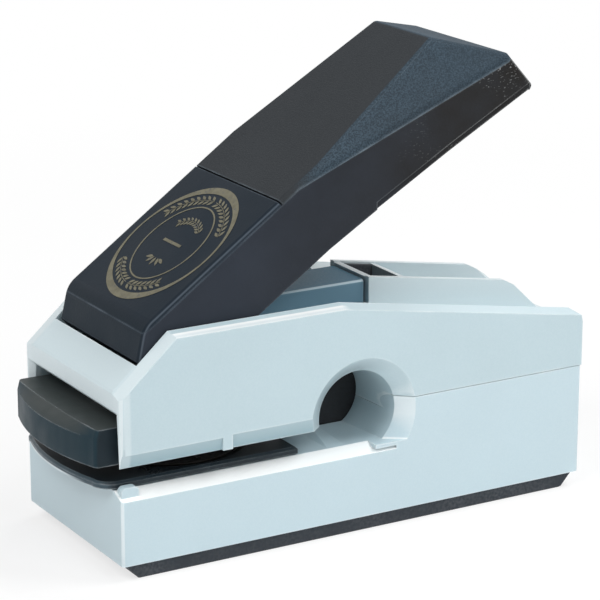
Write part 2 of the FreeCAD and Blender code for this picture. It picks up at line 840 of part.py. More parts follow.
# ------------------------------------------------------ ram and upper holder
def build_upper_holder():
    low = bowed_plate(holder_front, holder_bow, holder_back, tray_half, holder_corner,
                      holder_bottom)
    crease = bowed_plate(holder_front, holder_bow, holder_back, tray_half, holder_corner,
                         holder_top - holder_bevel)
    high = bowed_plate(holder_front_top, holder_bow_top, holder_back, tray_half, holder_corner,
                       holder_top)
    holder = join(Part.makeLoft([low, crease], True, True),
                  [Part.makeLoft([crease, high], True, True)])
    slot_start = platen_start - slide_gap
    neck = band(slot_start, holder_back + 1, key_neck_half + slide_gap,
                holder_top - hanger_neck_depth, holder_top + 1)
    foot_top = platen_bottom - hanger_neck_depth + slide_gap
    foot = band(slot_start, holder_back + 1, key_foot_half + slide_gap,
                foot_top - hanger_foot_depth - 2 * slide_gap, foot_top)
    holder = holder.cut(neck).cut(foot)
    holder = holder.cut(rod_z(ram_station, 0, die_radius, holder_bottom - 1,
                              holder_bottom + upper_die_thickness))
    for side in (-1, 1):
        holder = holder.cut(rod_z(ram_station, side * peg_offset, peg_radius, holder_bottom,
                                  holder_bottom + upper_die_thickness + peg_length
                                  + blind_gap))
    return holder


def build_platen():
    plate = band(platen_start, platen_end, platen_half, platen_bottom, platen_top)
    uprights = [e for e in plate.Edges if abs(e.tangentAt(e.FirstParameter).z) > 0.9]
    plate = plate.makeFillet(platen_corner, uprights)
    neck_bottom = platen_bottom - hanger_neck_depth
    neck = band(platen_start, platen_end, key_neck_half, neck_bottom, platen_bottom + overlap)
    foot = band(platen_start, platen_end, key_foot_half, neck_bottom - hanger_foot_depth,
                neck_bottom)
    plate = join(plate, [neck, foot])
    return plate.cut(rod_z(ram_station, 0, spigot_radius, neck_bottom - hanger_foot_depth - 1,
                           platen_top + 1))


def build_ram_shaft():
    shaft = rod_z(ram_station, 0, shaft_radius, platen_top, cap_bottom)
    spigot = rod_z(ram_station, 0, spigot_radius,
                   platen_bottom - hanger_neck_depth, platen_top + overlap)
    shaft = join(shaft, [spigot])
    return shaft.cut(rod_z(ram_station, 0, cap_stem_radius, cap_bottom - cap_stem_length,
                           cap_bottom + 1))


def build_ram_cap():
    cap = rod_z(ram_station, 0, cap_radius, cap_bottom, cap_top)
    rim = [e for e in cap.Edges if e.BoundBox.ZMin > cap_top - 0.01]
    cap = cap.makeChamfer(cap_rim, rim)
    stem = rod_z(ram_station, 0, cap_stem_radius, cap_bottom - cap_stem_length + blind_gap,
                 cap_bottom + overlap)
    return join(cap, [stem])


def build_stop_buffer():
    """Grooved rubber block in the well between the fins, behind the handle."""
    start = hump_station + bulkhead_thickness + buffer_gap
    end = well_end - buffer_gap
    reach = hump_half - hump_wall - buffer_gap
    block = well_block(start, end, reach, dish_depth, buffer_drop)
    groove = well_block(start - 1.0, end + 1.0, reach - buffer_cheek, buffer_groove, -1.0)
    return block.cut(groove)


def build_spine_cover():
    """Smoked cover that sits on the pocket floor over the spine of the casting."""
    cover = band(cover_start, pocket_end - run_gap, cover_half, floor_height + run_gap,
                 cover_top)
    edges = [e for e in cover.Edges
             if e.CenterOfMass.z > cover_top - 0.1
             and abs(e.tangentAt(e.FirstParameter).x) > 0.9]
    cover = cover.makeFillet(cover_round, edges)
    return cover.cut(band(cover_start - 1.0, pocket_end + 1.0, spine_half + frame_gap,
                          floor_height - 1.0, beam_top + frame_gap))


def build_guide_bush():
    bush = rod_z(ram_station, 0, bush_radius, window_top, bush_top)
    return bush.cut(rod_z(ram_station, 0, shaft_radius + run_gap, window_top - 1, bush_top + 1))


def build_return_spring():
    """Conical compression spring between the casting and the ram cap."""
    half = spring_wire / 2.0
    low = spring_seat + half + spring_touch
    high = cap_bottom - half - spring_touch
    steps = 36
    points = []
    for index in range(int(steps * spring_turns) + 1):
        t = index / (steps * spring_turns)
        radius = spring_base_radius + (spring_top_radius - spring_base_radius) * t
        angle = 2.0 * math.pi * spring_turns * t
        points.append(Vec(px(ram_station) + radius * math.cos(angle), radius * math.sin(angle),
                          low + (high - low) * t))
    curve = Part.BSplineCurve()
    curve.interpolate(points)
    path = Part.Wire([curve.toShape()])
    start = curve.tangent(curve.FirstParameter)[0]
    ring = Part.Wire([Part.makeCircle(half, points[0], start)])
    return Part.Wire(path).makePipeShell([ring], True, True)


# ----------------------------------------------------------------- handle
def plane_at(point, normal, inset):
    """Point and unit normal of a handle face, moved inwards by an inset."""
    n = Vec(normal)
    n.normalize()
    return Vec(px(point[0]), point[1], point[2]) - n * inset, n


def handle_block(top, facet, tail, side, nose, end):
    """Solid block bounded by the handle faces, each moved in by its own inset."""
    body = box(-base_length, far, -handle_half + side, handle_half - side, 0, far)
    nose_bottom = from_pivot(nose_low)
    nose_top = from_pivot(nose_high)
    facet_start = from_pivot(taper_start)
    facet_end = from_pivot(taper_end)
    crease = from_pivot(tail_crease)
    tail_bottom = from_pivot(tail_low)
    a = Vec(facet_start[0], -handle_half, facet_start[1])
    b = Vec(facet_end[0], -taper_half, facet_end[1])
    c = Vec(crease[0], -handle_half, crease[1])
    facet_normal = (c - a).cross(b - a)
    if facet_normal.z < 0:
        facet_normal = facet_normal * -1
    faces = [((nose_top[0], 0, nose_top[1]), (up_from_top[0], 0, up_from_top[1]), top),
             ((a.x, a.y, a.z), (facet_normal.x, facet_normal.y, facet_normal.z), facet),
             ((a.x, -a.y, a.z), (facet_normal.x, -facet_normal.y, facet_normal.z), facet),
             ((facet_end[0], 0, facet_end[1]),
              (facet_end[1] - crease[1], 0, crease[0] - facet_end[0]), tail),
             ((nose_top[0], 0, nose_top[1]),
              (nose_bottom[1] - nose_top[1], 0, nose_top[0] - nose_bottom[0]), nose),
             ((crease[0], 0, crease[1]),
              (crease[1] - tail_bottom[1], 0, tail_bottom[0] - crease[0]), end)]
    for point, normal, inset in faces:
        where, n = plane_at(point, normal, inset)
        body = cut_beyond(body, where, n)
    return body


def skirt_cut():
    """Everything below the lower edge of the handle."""
    low_front = from_pivot(nose_low)
    low_tail = from_pivot(tail_low)
    points = [(far, 0.0), (far, low_tail[1]), low_tail]
    points += [from_pivot(p) for p in skirt_line]
    points += [low_front, (-base_length, low_front[1]), (-base_length, 0.0)]
    return profile(points, -half_width, half_width)


def seam_plane(offset):
    """Plane across the handle where the front panel meets the grip."""
    height = pivot_height + nose_high[1] + (seam_run - nose_high[0]) * math.tan(slope)
    point = Vec(px(pivot_station + seam_run) + offset * along[0], 0, height + offset * along[1])
    return point, Vec(along[0], 0, along[1])


def build_handle_parts():
    outer = handle_block(0, 0, 0, 0, 0, 0)
    crest = from_pivot(nose_high)[1]
    nose_crease = [e for e in outer.Edges
                   if abs(e.BoundBox.ZMin - crest) < 0.5 and abs(e.BoundBox.ZMax - crest) < 0.5]
    outer = outer.makeFillet(nose_round, nose_crease)
    creases = [e for e in outer.Edges
               if e.BoundBox.ZMax > crest + 2.0 * nose_round and e.BoundBox.ZMin > 1.0
               or e.BoundBox.ZMax > from_pivot(tail_low)[1]]
    outer = outer.makeFillet(handle_round, creases)
    outer = outer.cut(skirt_cut())
    core = handle_block(skin_thickness, skin_thickness, skin_thickness, 0, 0, 0)
    layer = outer.cut(core)
    point, normal = seam_plane(seam_groove / 2.0)
    grip = cut_beyond(layer, point, normal * -1)
    point, normal = seam_plane(-seam_groove / 2.0)
    panel = cut_beyond(layer, point, normal)
    shell = outer.common(core)
    cavity = handle_block(top_wall, top_wall, top_wall, side_skin, side_skin, side_skin)
    shell = shell.cut(cavity)
    ribs = []
    top_root = top_wall - overlap
    deep = top_wall + rib_depth
    for index in range(rib_count):
        offset = rib_first + index * rib_pitch
        point, normal = seam_plane(offset)
        slab = handle_block(top_root, top_root, top_root, side_skin - overlap, side_skin,
                            side_skin)
        slab = slab.cut(handle_block(deep, deep, deep, side_skin + rib_depth, side_skin,
                                     side_skin))
        slab = slab.cut(skirt_cut())
        slab = cut_beyond(slab, point, normal * -1)
        point, normal = seam_plane(offset + rib_thickness)
        ribs.append(cut_beyond(slab, point, normal))
    shell = join(shell, ribs)
    for u in handle_screw_distances():
        shell = shell.cut(lever_rod(u, screw_radius, 0.0,
                                    web_top() + handle_screw_reach + blind_gap))
    for strip in both_sides(skirt_lip_strip()):
        shell = shell.cut(strip)
    return shell, panel, grip


def skirt_lip_strip():
    """Shallow step along the rear part of the lower edge of one side."""
    low = [from_pivot(p) for p in skirt_line if p[0] > skirt_lip_run]
    high = [(d, z + skirt_lip_height) for d, z in reversed(low)]
    under = [(d, z - 3.0) for d, z in low]
    return profile(under + high, handle_half - skirt_lip_width, half_width)


def web_top():
    """Distance of the lever web face from the pivot, square to the handle top."""
    return nose_high[0] * up_from_top[0] + nose_high[1] * up_from_top[1] - top_wall


def tilt_to_handle(shape):
    """Turn a shape drawn level about the pivot into the raised handle position."""
    shape.rotate(Vec(px(pivot_station), 0, pivot_height), Vec(0, 1, 0), -handle_slope)
    return shape


def lever_rod(u, radius, v0, v1):
    """Rod square to the lever web, u along the handle from the pivot."""
    rod = rod_z(pivot_station + u, 0, radius, pivot_height + v0, pivot_height + v1)
    return tilt_to_handle(rod)


def build_lever():
    top = web_top()
    web_end = pivot_station + web_length
    web = band(pivot_station - web_start, web_end, ear_inner + ear_thickness,
               pivot_height + top - web_thickness, pivot_height + top)
    drop = math.radians(press_angle / 2.0 - handle_slope)
    eye = (pivot_station + roller_arm * math.cos(drop),
           pivot_height + roller_arm * math.sin(drop))
    flanges = []
    for y0 in (-ear_inner - ear_thickness, ear_inner):
        y1 = y0 + ear_thickness
        flanges.append(box(pivot_station - web_start, web_end, y0, y1,
                           pivot_height + top - flange_depth, pivot_height + top - overlap))
        flanges.append(rod_y(pivot_station, pivot_height, ear_radius, y0, y1))
        flanges.append(rod_y(eye[0], eye[1], roller_eye_radius, y0, y1))
        back = eye[0] + roller_eye_radius
        high = pivot_height + top - web_thickness / 2.0
        flanges.append(profile([(pivot_station - web_start, pivot_height), eye, (back, eye[1]),
                                (back + 3.0, high), (pivot_station - web_start, high)],
                               y0, y1))
    lever = join(web, flanges)
    lever = lever.cut(rod_y(pivot_station, pivot_height, lever_bush_radius,
                            -half_width, half_width))
    lever = lever.cut(rod_y(eye[0], eye[1], roller_pin_radius, -half_width, half_width))
    lever = tilt_to_handle(lever)
    for u in handle_screw_distances():
        lever = lever.cut(lever_rod(u, screw_radius, 0.0, top + 1))
    return lever


def build_handle_screws():
    screws = []
    for u in handle_screw_distances():
        top = web_top()
        shank = lever_rod(u, screw_radius, top - web_thickness, top + handle_screw_reach)
        head = lever_rod(u, screw_head_radius, top - web_thickness - screw_head_height,
                         top - web_thickness)
        screws.append(join(shank, [head]))
    return screws


def ring_y(station, height, outer, inner, y0, y1):
    """Washer-like ring lying along Y."""
    return rod_y(station, height, outer, y0, y1).cut(
        rod_y(station, height, inner, y0 - 1, y1 + 1))


# ------------------------------------------------------------------- write
def upright_screw(d, y, z_head, z_tip):
    """Pan-head screw driven upwards from below."""
    head = rod_z(d, y, screw_head_radius, z_head, z_head + screw_head_height)
    shank = rod_z(d, y, screw_radius, z_head + screw_head_height - 0.1, z_tip)
    return join(head, [shank])


def anvil_screw(d, y):
    """Countersunk screw flush with the anvil face."""
    head = Part.makeCone(screw_radius, screw_head_radius, screw_head_height,
                         Vec(px(d), y, base_top - screw_head_height), Vec(0, 0, 1))
    shank = rod_z(d, y, screw_radius, anvil_bottom - anvil_screw_reach,
                  base_top - screw_head_height + 0.1)
    screw = join(head, [shank])
    slot = box(d - screw_slot_half, d + screw_slot_half, y - screw_slot_width / 2.0,
               y + screw_slot_width / 2.0, base_top - screw_slot_width, base_top + 1)
    return screw.cut(slot)


save("foot_pad", build_foot_pad())
save("bottom_plate", build_bottom_plate())
save("base_shell", build_base_shell())
save("c_frame", build_c_frame())
save("anvil_plate", build_anvil_plate())
save("upper_housing", build_upper_housing())
save("lower_die_tray", build_lower_tray())
save("lower_die", build_lower_die())
save("upper_die_holder", build_upper_holder())
save("upper_die", build_upper_die())
save("ram_platen", build_platen())
save("ram_shaft", build_ram_shaft())
save("ram_cap", build_ram_cap())
save("guide_bush", build_guide_bush())
save("stop_buffer", build_stop_buffer())
save("spine_cover", build_spine_cover())
save("return_spring", build_return_spring())

handle_shell, front_panel, grip_skin = build_handle_parts()
save("handle_shell", handle_shell)
save("front_panel", front_panel)
save("grip_skin", grip_skin)
save("lever", build_lever())
save("handle_screws", build_handle_screws())

save("pivot_pin", rod_y(pivot_station, pivot_height, pivot_pin_radius, -pivot_pin_half,
                        pivot_pin_half))
clip_start = lug_inner + lug_width + clip_gap
save("pivot_clips", both_sides(ring_y(pivot_station, pivot_height, clip_radius,
                                      pivot_pin_radius, clip_start,
                                      clip_start + clip_thickness)))
save("lever_bushes", both_sides(ring_y(pivot_station, pivot_height, lever_bush_radius,
                                       pivot_pin_radius + run_gap, ear_inner,
                                       ear_inner + ear_thickness)))
save("cam_roller", ring_y(ram_station, roller_height, roller_radius,
                          roller_pin_radius + run_gap, -roller_half, roller_half))
save("roller_pin", rod_y(ram_station, roller_height, roller_pin_radius, -roller_pin_half,
                         roller_pin_half))
save("roller_spacers", both_sides(ring_y(ram_station, roller_height, spacer_radius,
                                         roller_pin_radius, roller_half + slide_gap,
                                         ear_inner)))
roller_clip_start = ear_inner + ear_thickness
save("roller_clips", both_sides(ring_y(ram_station, roller_height, roller_clip_radius,
                                       roller_pin_radius, roller_clip_start,
                                       roller_clip_start + clip_thickness)))
screw_foot = pad_height - screw_head_height
save("frame_screws", [upright_screw(d, y, screw_foot, anvil_bottom - frame_screw_short)
                      for d, y in frame_screw_spots()])
save("housing_screws", [upright_screw(d, y, screw_foot, riser_top + housing_screw_reach)
                        for d, y in housing_screw_spots()])
save("anvil_screws", [anvil_screw(d, y) for d, y in anvil_screw_spots()])
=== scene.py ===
"""Desk seal embosser: finishes, printed seal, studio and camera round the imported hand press.

Units are metres.  +X runs to the rear of the press, -Y is its right-hand side seen from the
front and +Z is up.  The desk is at Z = 0.
"""
from __future__ import annotations

import json
import logging
import math
from dataclasses import dataclass, field
from enum import Enum
from functools import reduce
from typing import Any

import bmesh
import bpy
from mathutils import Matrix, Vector

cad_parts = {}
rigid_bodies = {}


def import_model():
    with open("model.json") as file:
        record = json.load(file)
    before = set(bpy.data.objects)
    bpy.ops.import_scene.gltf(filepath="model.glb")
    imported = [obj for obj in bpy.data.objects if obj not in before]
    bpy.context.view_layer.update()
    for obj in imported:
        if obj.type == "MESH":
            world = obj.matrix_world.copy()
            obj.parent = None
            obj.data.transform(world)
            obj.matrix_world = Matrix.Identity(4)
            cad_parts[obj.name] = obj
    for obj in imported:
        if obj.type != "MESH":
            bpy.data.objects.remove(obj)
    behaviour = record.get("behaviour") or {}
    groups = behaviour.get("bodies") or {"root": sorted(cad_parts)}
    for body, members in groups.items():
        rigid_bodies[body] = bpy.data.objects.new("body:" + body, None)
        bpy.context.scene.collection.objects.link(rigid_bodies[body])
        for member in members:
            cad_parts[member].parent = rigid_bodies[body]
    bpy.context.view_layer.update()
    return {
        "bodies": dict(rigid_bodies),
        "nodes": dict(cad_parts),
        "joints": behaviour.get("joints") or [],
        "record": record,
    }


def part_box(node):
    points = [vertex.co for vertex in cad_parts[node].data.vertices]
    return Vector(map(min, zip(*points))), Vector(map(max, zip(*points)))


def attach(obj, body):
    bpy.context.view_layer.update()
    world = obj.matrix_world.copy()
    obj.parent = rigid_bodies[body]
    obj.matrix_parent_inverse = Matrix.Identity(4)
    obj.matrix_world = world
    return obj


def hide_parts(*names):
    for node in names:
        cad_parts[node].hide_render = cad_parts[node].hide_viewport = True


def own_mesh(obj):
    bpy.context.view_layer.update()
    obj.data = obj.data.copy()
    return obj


LOG = logging.getLogger("seal_embosser")

Node = bpy.types.Node
Socket = bpy.types.NodeSocket
Piece = bpy.types.Object
Frame = dict[str, Any]
Pair = tuple[float, float]
Triple = tuple[float, float, float]
Colour = Triple
# Where a ramp starts and ends, then what it gives there if that isn't 0 and 1.
Ramp = tuple[float, ...]
# Lumps per metre, octaves and, if it isn't a half, the weight of the finer octaves.
Noise = tuple[float, ...]
# Rows of what a ramp measures, as in Graph.measure, and the ramp's numbers.
Mask = tuple[tuple[Any, ...], ...]

PANEL_SLOPE = math.radians(35.3)
WHITE: Colour = (1.0, 1.0, 1.0)
LUMPS: Ramp = (0.3, 0.7)


class Effect(Enum):
    """Shader groups that several finishes share."""

    EDGE_WEAR = "edge wear"
    GRAIN = "moulded grain"
    SMUDGE = "handling smudges"
    FLECKS = "scuff flecks"


def from_screen(red: int, green: int, blue: int) -> Colour:
    """Turn an 8-bit screen colour into the linear colour that a shader takes.

    Args:
        red: Red, 0 to 255.
        green: Green, 0 to 255.
        blue: Blue, 0 to 255.

    Returns:
        The same colour in linear light.
    """
    def linear(value: int) -> float:
        """Linear light of one channel."""
        v = value / 255.0
        return v / 12.92 if v <= 0.04045 else ((v + 0.055) / 1.055) ** 2.4
    return linear(red), linear(green), linear(blue)


def times(colour: Colour, share: float) -> Colour:
    """Colour that is darker or lighter by a share."""
    return tuple(channel * share for channel in colour)


def add_object(name: str, data: Any) -> Piece:
    """Put an object with its data into the scene.

    Args:
        name: Name of the object.
        data: Mesh, lamp or camera.

    Returns:
        The new object.
    """
    made = bpy.data.objects.new(name, data)
    bpy.context.scene.collection.objects.link(made)
    return made


def add_mesh(name: str, mesh: bmesh.types.BMesh) -> Piece:
    """Turn a finished mesh into an object and free it.

    Args:
        name: Name of the object and its mesh.
        mesh: The mesh.

    Returns:
        The new object.
    """
    bmesh.ops.recalc_face_normals(mesh, faces=mesh.faces)
    data = bpy.data.meshes.new(name)
    mesh.to_mesh(data)
    mesh.free()
    return add_object(name, data)


def add_facing(name: str, data: Any, place: Vector, back: Vector) -> Piece:
    """Put a lamp or camera into the scene, turned to its subject.

    Args:
        name: Name of the object.
        data: Lamp or camera.
        place: Where it stands.
        back: Direction from its subject to it.

    Returns:
        The new object.
    """
    made = add_object(name, data)
    made.location = place
    made.rotation_euler = back.to_track_quat("Z", "Y").to_euler()
    return made


# ---- shader graph
@dataclass
class Graph:
    """Short way to place and link shader nodes in one node tree."""

    tree: bpy.types.NodeTree

    def node(self, kind: str, **settings: Any) -> Node:
        """Add a node.

        Args:
            kind: Blender's class name of the node.
            settings: Attributes to set on it.

        Returns:
            The new node.
        """
        made = self.tree.nodes.new(kind)
        for name, value in settings.items():
            setattr(made, name, value)
        return made

    def feed(self, socket: Socket, value: Any) -> None:
        """Link an output into a socket, or set the socket's own value.

        Args:
            socket: The input.
            value: Output, number, vector or colour.
        """
        if isinstance(value, Socket):
            self.tree.links.new(value, socket)
        else:
            socket.default_value = (*value, 1.0) if socket.type == "RGBA" else value

    def wire(self, node: Node, *values: Any, **named: Any) -> Node:
        """Feed a node's inputs.

        Args:
            node: The node.
            values: Values or outputs for its first inputs, in order.
            named: Values or outputs by input name, with _ for a space.

        Returns:
            The same node.
        """
        for socket, value in zip(node.inputs, values):
            self.feed(socket, value)
        for name, value in named.items():
            self.feed(node.inputs[name.replace("_", " ")], value)
        return node

    def math(self, operation: str, *values: Any) -> Socket:
        """Result of one Math node."""
        return self.wire(self.node("ShaderNodeMath", operation=operation), *values).outputs[0]

    def vector(self, operation: str, *values: Any) -> Node:
        """Vector Math node with its inputs fed."""
        return self.wire(self.node("ShaderNodeVectorMath", operation=operation), *values)

    def product(self, *values: Any) -> Socket:
        """Product of numbers or outputs."""
        return reduce(lambda total, value: self.math("MULTIPLY", total, value), values)

    def most(self, *values: Any) -> Socket:
        """Largest of some numbers or outputs."""
        return reduce(lambda total, value: self.math("MAXIMUM", total, value), values)

    def mix(self, factor: Any, first: Any, second: Any) -> Socket:
        """Blend two colours.

        Args:
            factor: 0 gives the first colour and 1 the second.
            first: Linear colour or output.
            second: Linear colour or output.

        Returns:
            The blended colour's output.
        """
        made = self.wire(self.node("ShaderNodeMix", data_type="RGBA"), Factor=factor)
        self.feed(made.inputs[6], first)
        self.feed(made.inputs[7], second)
        return made.outputs[2]

    def blend(self, factor: Any, first: Node, second: Node) -> Socket:
        """Blend of two shader nodes, with 0 for the first and 1 for the second."""
        return self.wire(self.node("ShaderNodeMixShader"), factor, first.outputs[0],
                         second.outputs[0]).outputs[0]

    def ramp(self, value: Any, ramp: Ramp) -> Socket:
        """Map a value with a clamped ramp.

        Args:
            value: Number or output to map.
            ramp: Where the ramp starts and ends, and what it gives there.

        Returns:
            The mapped output.
        """
        low, high, start, end = (*ramp, 0.0, 1.0)[:4]
        return self.wire(self.node("ShaderNodeMapRange", clamp=True), Value=value, From_Min=low,
                         From_Max=high, To_Min=start, To_Max=end).outputs[0]

    def mask(self, rows: Mask, *others: Any) -> Any:
        """Product of the ramps in a mask's rows and of other values."""
        return self.product(*others, *(self.ramp(self.measure(row[0]), row[1:])
                                       for row in rows))

    def coordinates(self) -> Socket:
        """Place on the press, in metres, which stays with a piece when it moves."""
        return self.node("ShaderNodeTexCoord").outputs["Object"]

    def measure(self, name: str) -> Socket:
        """Measure the surface in a way that stays with a piece when it moves.

        Args:
            name: x, y or z for the place on the press in metres, nx, ny or nz for the way
                the surface faces, and the name between bars for its size without a sign.

        Returns:
            The measure's output.
        """
        plain = name.strip("|")
        kind = "Normal" if plain.startswith("n") else "Object"
        vector = self.node("ShaderNodeTexCoord").outputs[kind]
        split = self.wire(self.node("ShaderNodeSeparateXYZ"), vector).outputs
        value = split[plain[-1].upper()]
        return value if plain == name else self.math("ABSOLUTE", value)

    def noise(self, scale: Any, detail: float, roughness: float = 0.5, distortion: float = 0.0,
              place: Any = None) -> Socket:
        """Add a noise texture.

        Args:
            scale: Lumps per metre.
            detail: Octaves.
            roughness: Weight of the finer octaves.
            distortion: How far the pattern is stirred.
            place: Coordinates, or None for the place on the press.

        Returns:
            The grey value's output.
        """
        place = self.coordinates() if place is None else place
        return self.wire(self.node("ShaderNodeTexNoise"), Vector=place, Scale=scale,
                         Detail=detail, Roughness=roughness, Distortion=distortion).outputs[0]

    def seen_directly(self) -> Socket:
        """Mask that is 1 for the camera, for reflections and through clear pieces."""
        path = self.node("ShaderNodeLightPath").outputs
        return self.most(path["Is Glossy Ray"], path["Is Transmission Ray"],
                         path["Is Camera Ray"])

    def group(self, effect: Effect, **values: Any) -> Any:
        """Outputs of a shared effect with its own input values."""
        node = self.node("ShaderNodeGroup", node_tree=bpy.data.node_groups[effect.value])
        return self.wire(node, **values).outputs


class EffectShop:
    """Builds the shader groups that the finishes share."""

    BEVEL_SAMPLES = 4
    EDGE_TURN: Ramp = (0.015, 0.16)
    EDGE_DETAIL = 4.0
    EDGE_BREAKS: Ramp = (0.38, 0.62, 0.35, 1.0)
    CELL_SHARE = 0.6
    GRAIN_DETAIL = 2.0
    GRAIN_SHARE = 0.5
    GRAIN_SHADE: Ramp = (0.35, 0.65)
    SMUDGE_NOISE = (5.0, 0.5, 0.6)
    SMUDGE_PATCH: Ramp = (0.36, 0.66)
    FLECK_STRETCH: Triple = (0.55, 1.0, 1.0)
    FLECK_DETAIL = 1.0
    FLECK_DOTS: Ramp = (0.63, 0.71)
    CLUSTERS: Noise = (70.0, 2.0)
    CLUSTER_PATCH: Ramp = (0.5, 0.62)

    def open_group(self, effect: Effect, inputs: str, outputs: str) -> tuple[Graph, Any, Node]:
        """Start a group of numbers, with inputs that are 1 unless they are fed.

        Args:
            effect: The effect that the group makes.
            inputs: Input names with spaces between them.
            outputs: Output names likewise.

        Returns:
            The group's graph, the outputs of its input node, and its output node.
        """
        tree = bpy.data.node_groups.new(effect.value, "ShaderNodeTree")
        for end, names in (("INPUT", inputs), ("OUTPUT", outputs)):
            for name in names.split():
                socket = tree.interface.new_socket(name, in_out=end,
                                                   socket_type="NodeSocketFloat")
                socket.default_value = 1.0
        graph = Graph(tree)
        return graph, graph.node("NodeGroupInput").outputs, graph.node("NodeGroupOutput")

    def build(self) -> None:
        """Make every shared group."""
        for make in (self.edge_wear, self.grain, self.smudge, self.flecks):
            make()

    def edge_wear(self) -> None:
        """Mask that is 1 on sharp edges, broken up as hands and desks wear them, for worn edges
        and painted highlights.
        """
        graph, given, result = self.open_group(Effect.EDGE_WEAR, "Width Break Amount", "Mask")
        rounded = graph.wire(graph.node("ShaderNodeBevel", samples=self.BEVEL_SAMPLES),
                             Radius=given["Width"]).outputs[0]
        flat = graph.node("ShaderNodeNewGeometry").outputs["Normal"]
        near = graph.vector("DOT_PRODUCT", rounded, flat).outputs["Value"]
        edge = graph.ramp(graph.math("SUBTRACT", 1.0, near), self.EDGE_TURN)
        broken = graph.ramp(graph.noise(given["Break"], self.EDGE_DETAIL), self.EDGE_BREAKS)
        graph.wire(result, Mask=graph.product(edge, broken, given["Amount"]))

    def grain(self) -> None:
        """Height and shade of a fine pebbled mould texture."""
        graph, given, result = self.open_group(Effect.GRAIN, "Scale Depth", "Height Shade")
        cells = graph.wire(graph.node("ShaderNodeTexVoronoi", feature="SMOOTH_F1"),
                           Vector=graph.coordinates(), Scale=given["Scale"])
        noise = graph.noise(given["Scale"], self.GRAIN_DETAIL)
        bumps = graph.math("ADD", graph.product(cells.outputs["Distance"], self.CELL_SHARE),
                           graph.product(noise, self.GRAIN_SHARE))
        graph.wire(result, Height=graph.product(bumps, given["Depth"]),
                   Shade=graph.ramp(noise, self.GRAIN_SHADE))

    def smudge(self) -> None:
        """Broad soft patches where hands have polished or dulled a surface."""
        graph, given, result = self.open_group(Effect.SMUDGE, "Scale Amount", "Mask")
        patch = graph.ramp(graph.noise(given["Scale"], *self.SMUDGE_NOISE), self.SMUDGE_PATCH)
        graph.wire(result, Mask=graph.product(patch, given["Amount"]))

    def flecks(self) -> None:
        """Sparse small light scuffs in loose clusters."""
        graph, given, result = self.open_group(Effect.FLECKS, "Scale Cover", "Mask")
        place = graph.vector("MULTIPLY", graph.coordinates(), self.FLECK_STRETCH).outputs[0]
        noise = graph.noise(given["Scale"], self.FLECK_DETAIL, place=place)
        where = graph.ramp(graph.noise(*self.CLUSTERS), self.CLUSTER_PATCH)
        graph.wire(result, Mask=graph.product(graph.ramp(noise, self.FLECK_DOTS), where,
                                              given["Cover"]))


# ---- finishes
@dataclass(frozen=True)
class Look:
    """Outputs that a finish gives its shader: colour, roughness mask and relief."""

    colour: Socket
    mask: Socket
    height: Socket


@dataclass(frozen=True)
class Patch:
    """Colour that shows where a mask is 1: a painted shade or a painted light."""

    colour: Colour
    mask: Mask


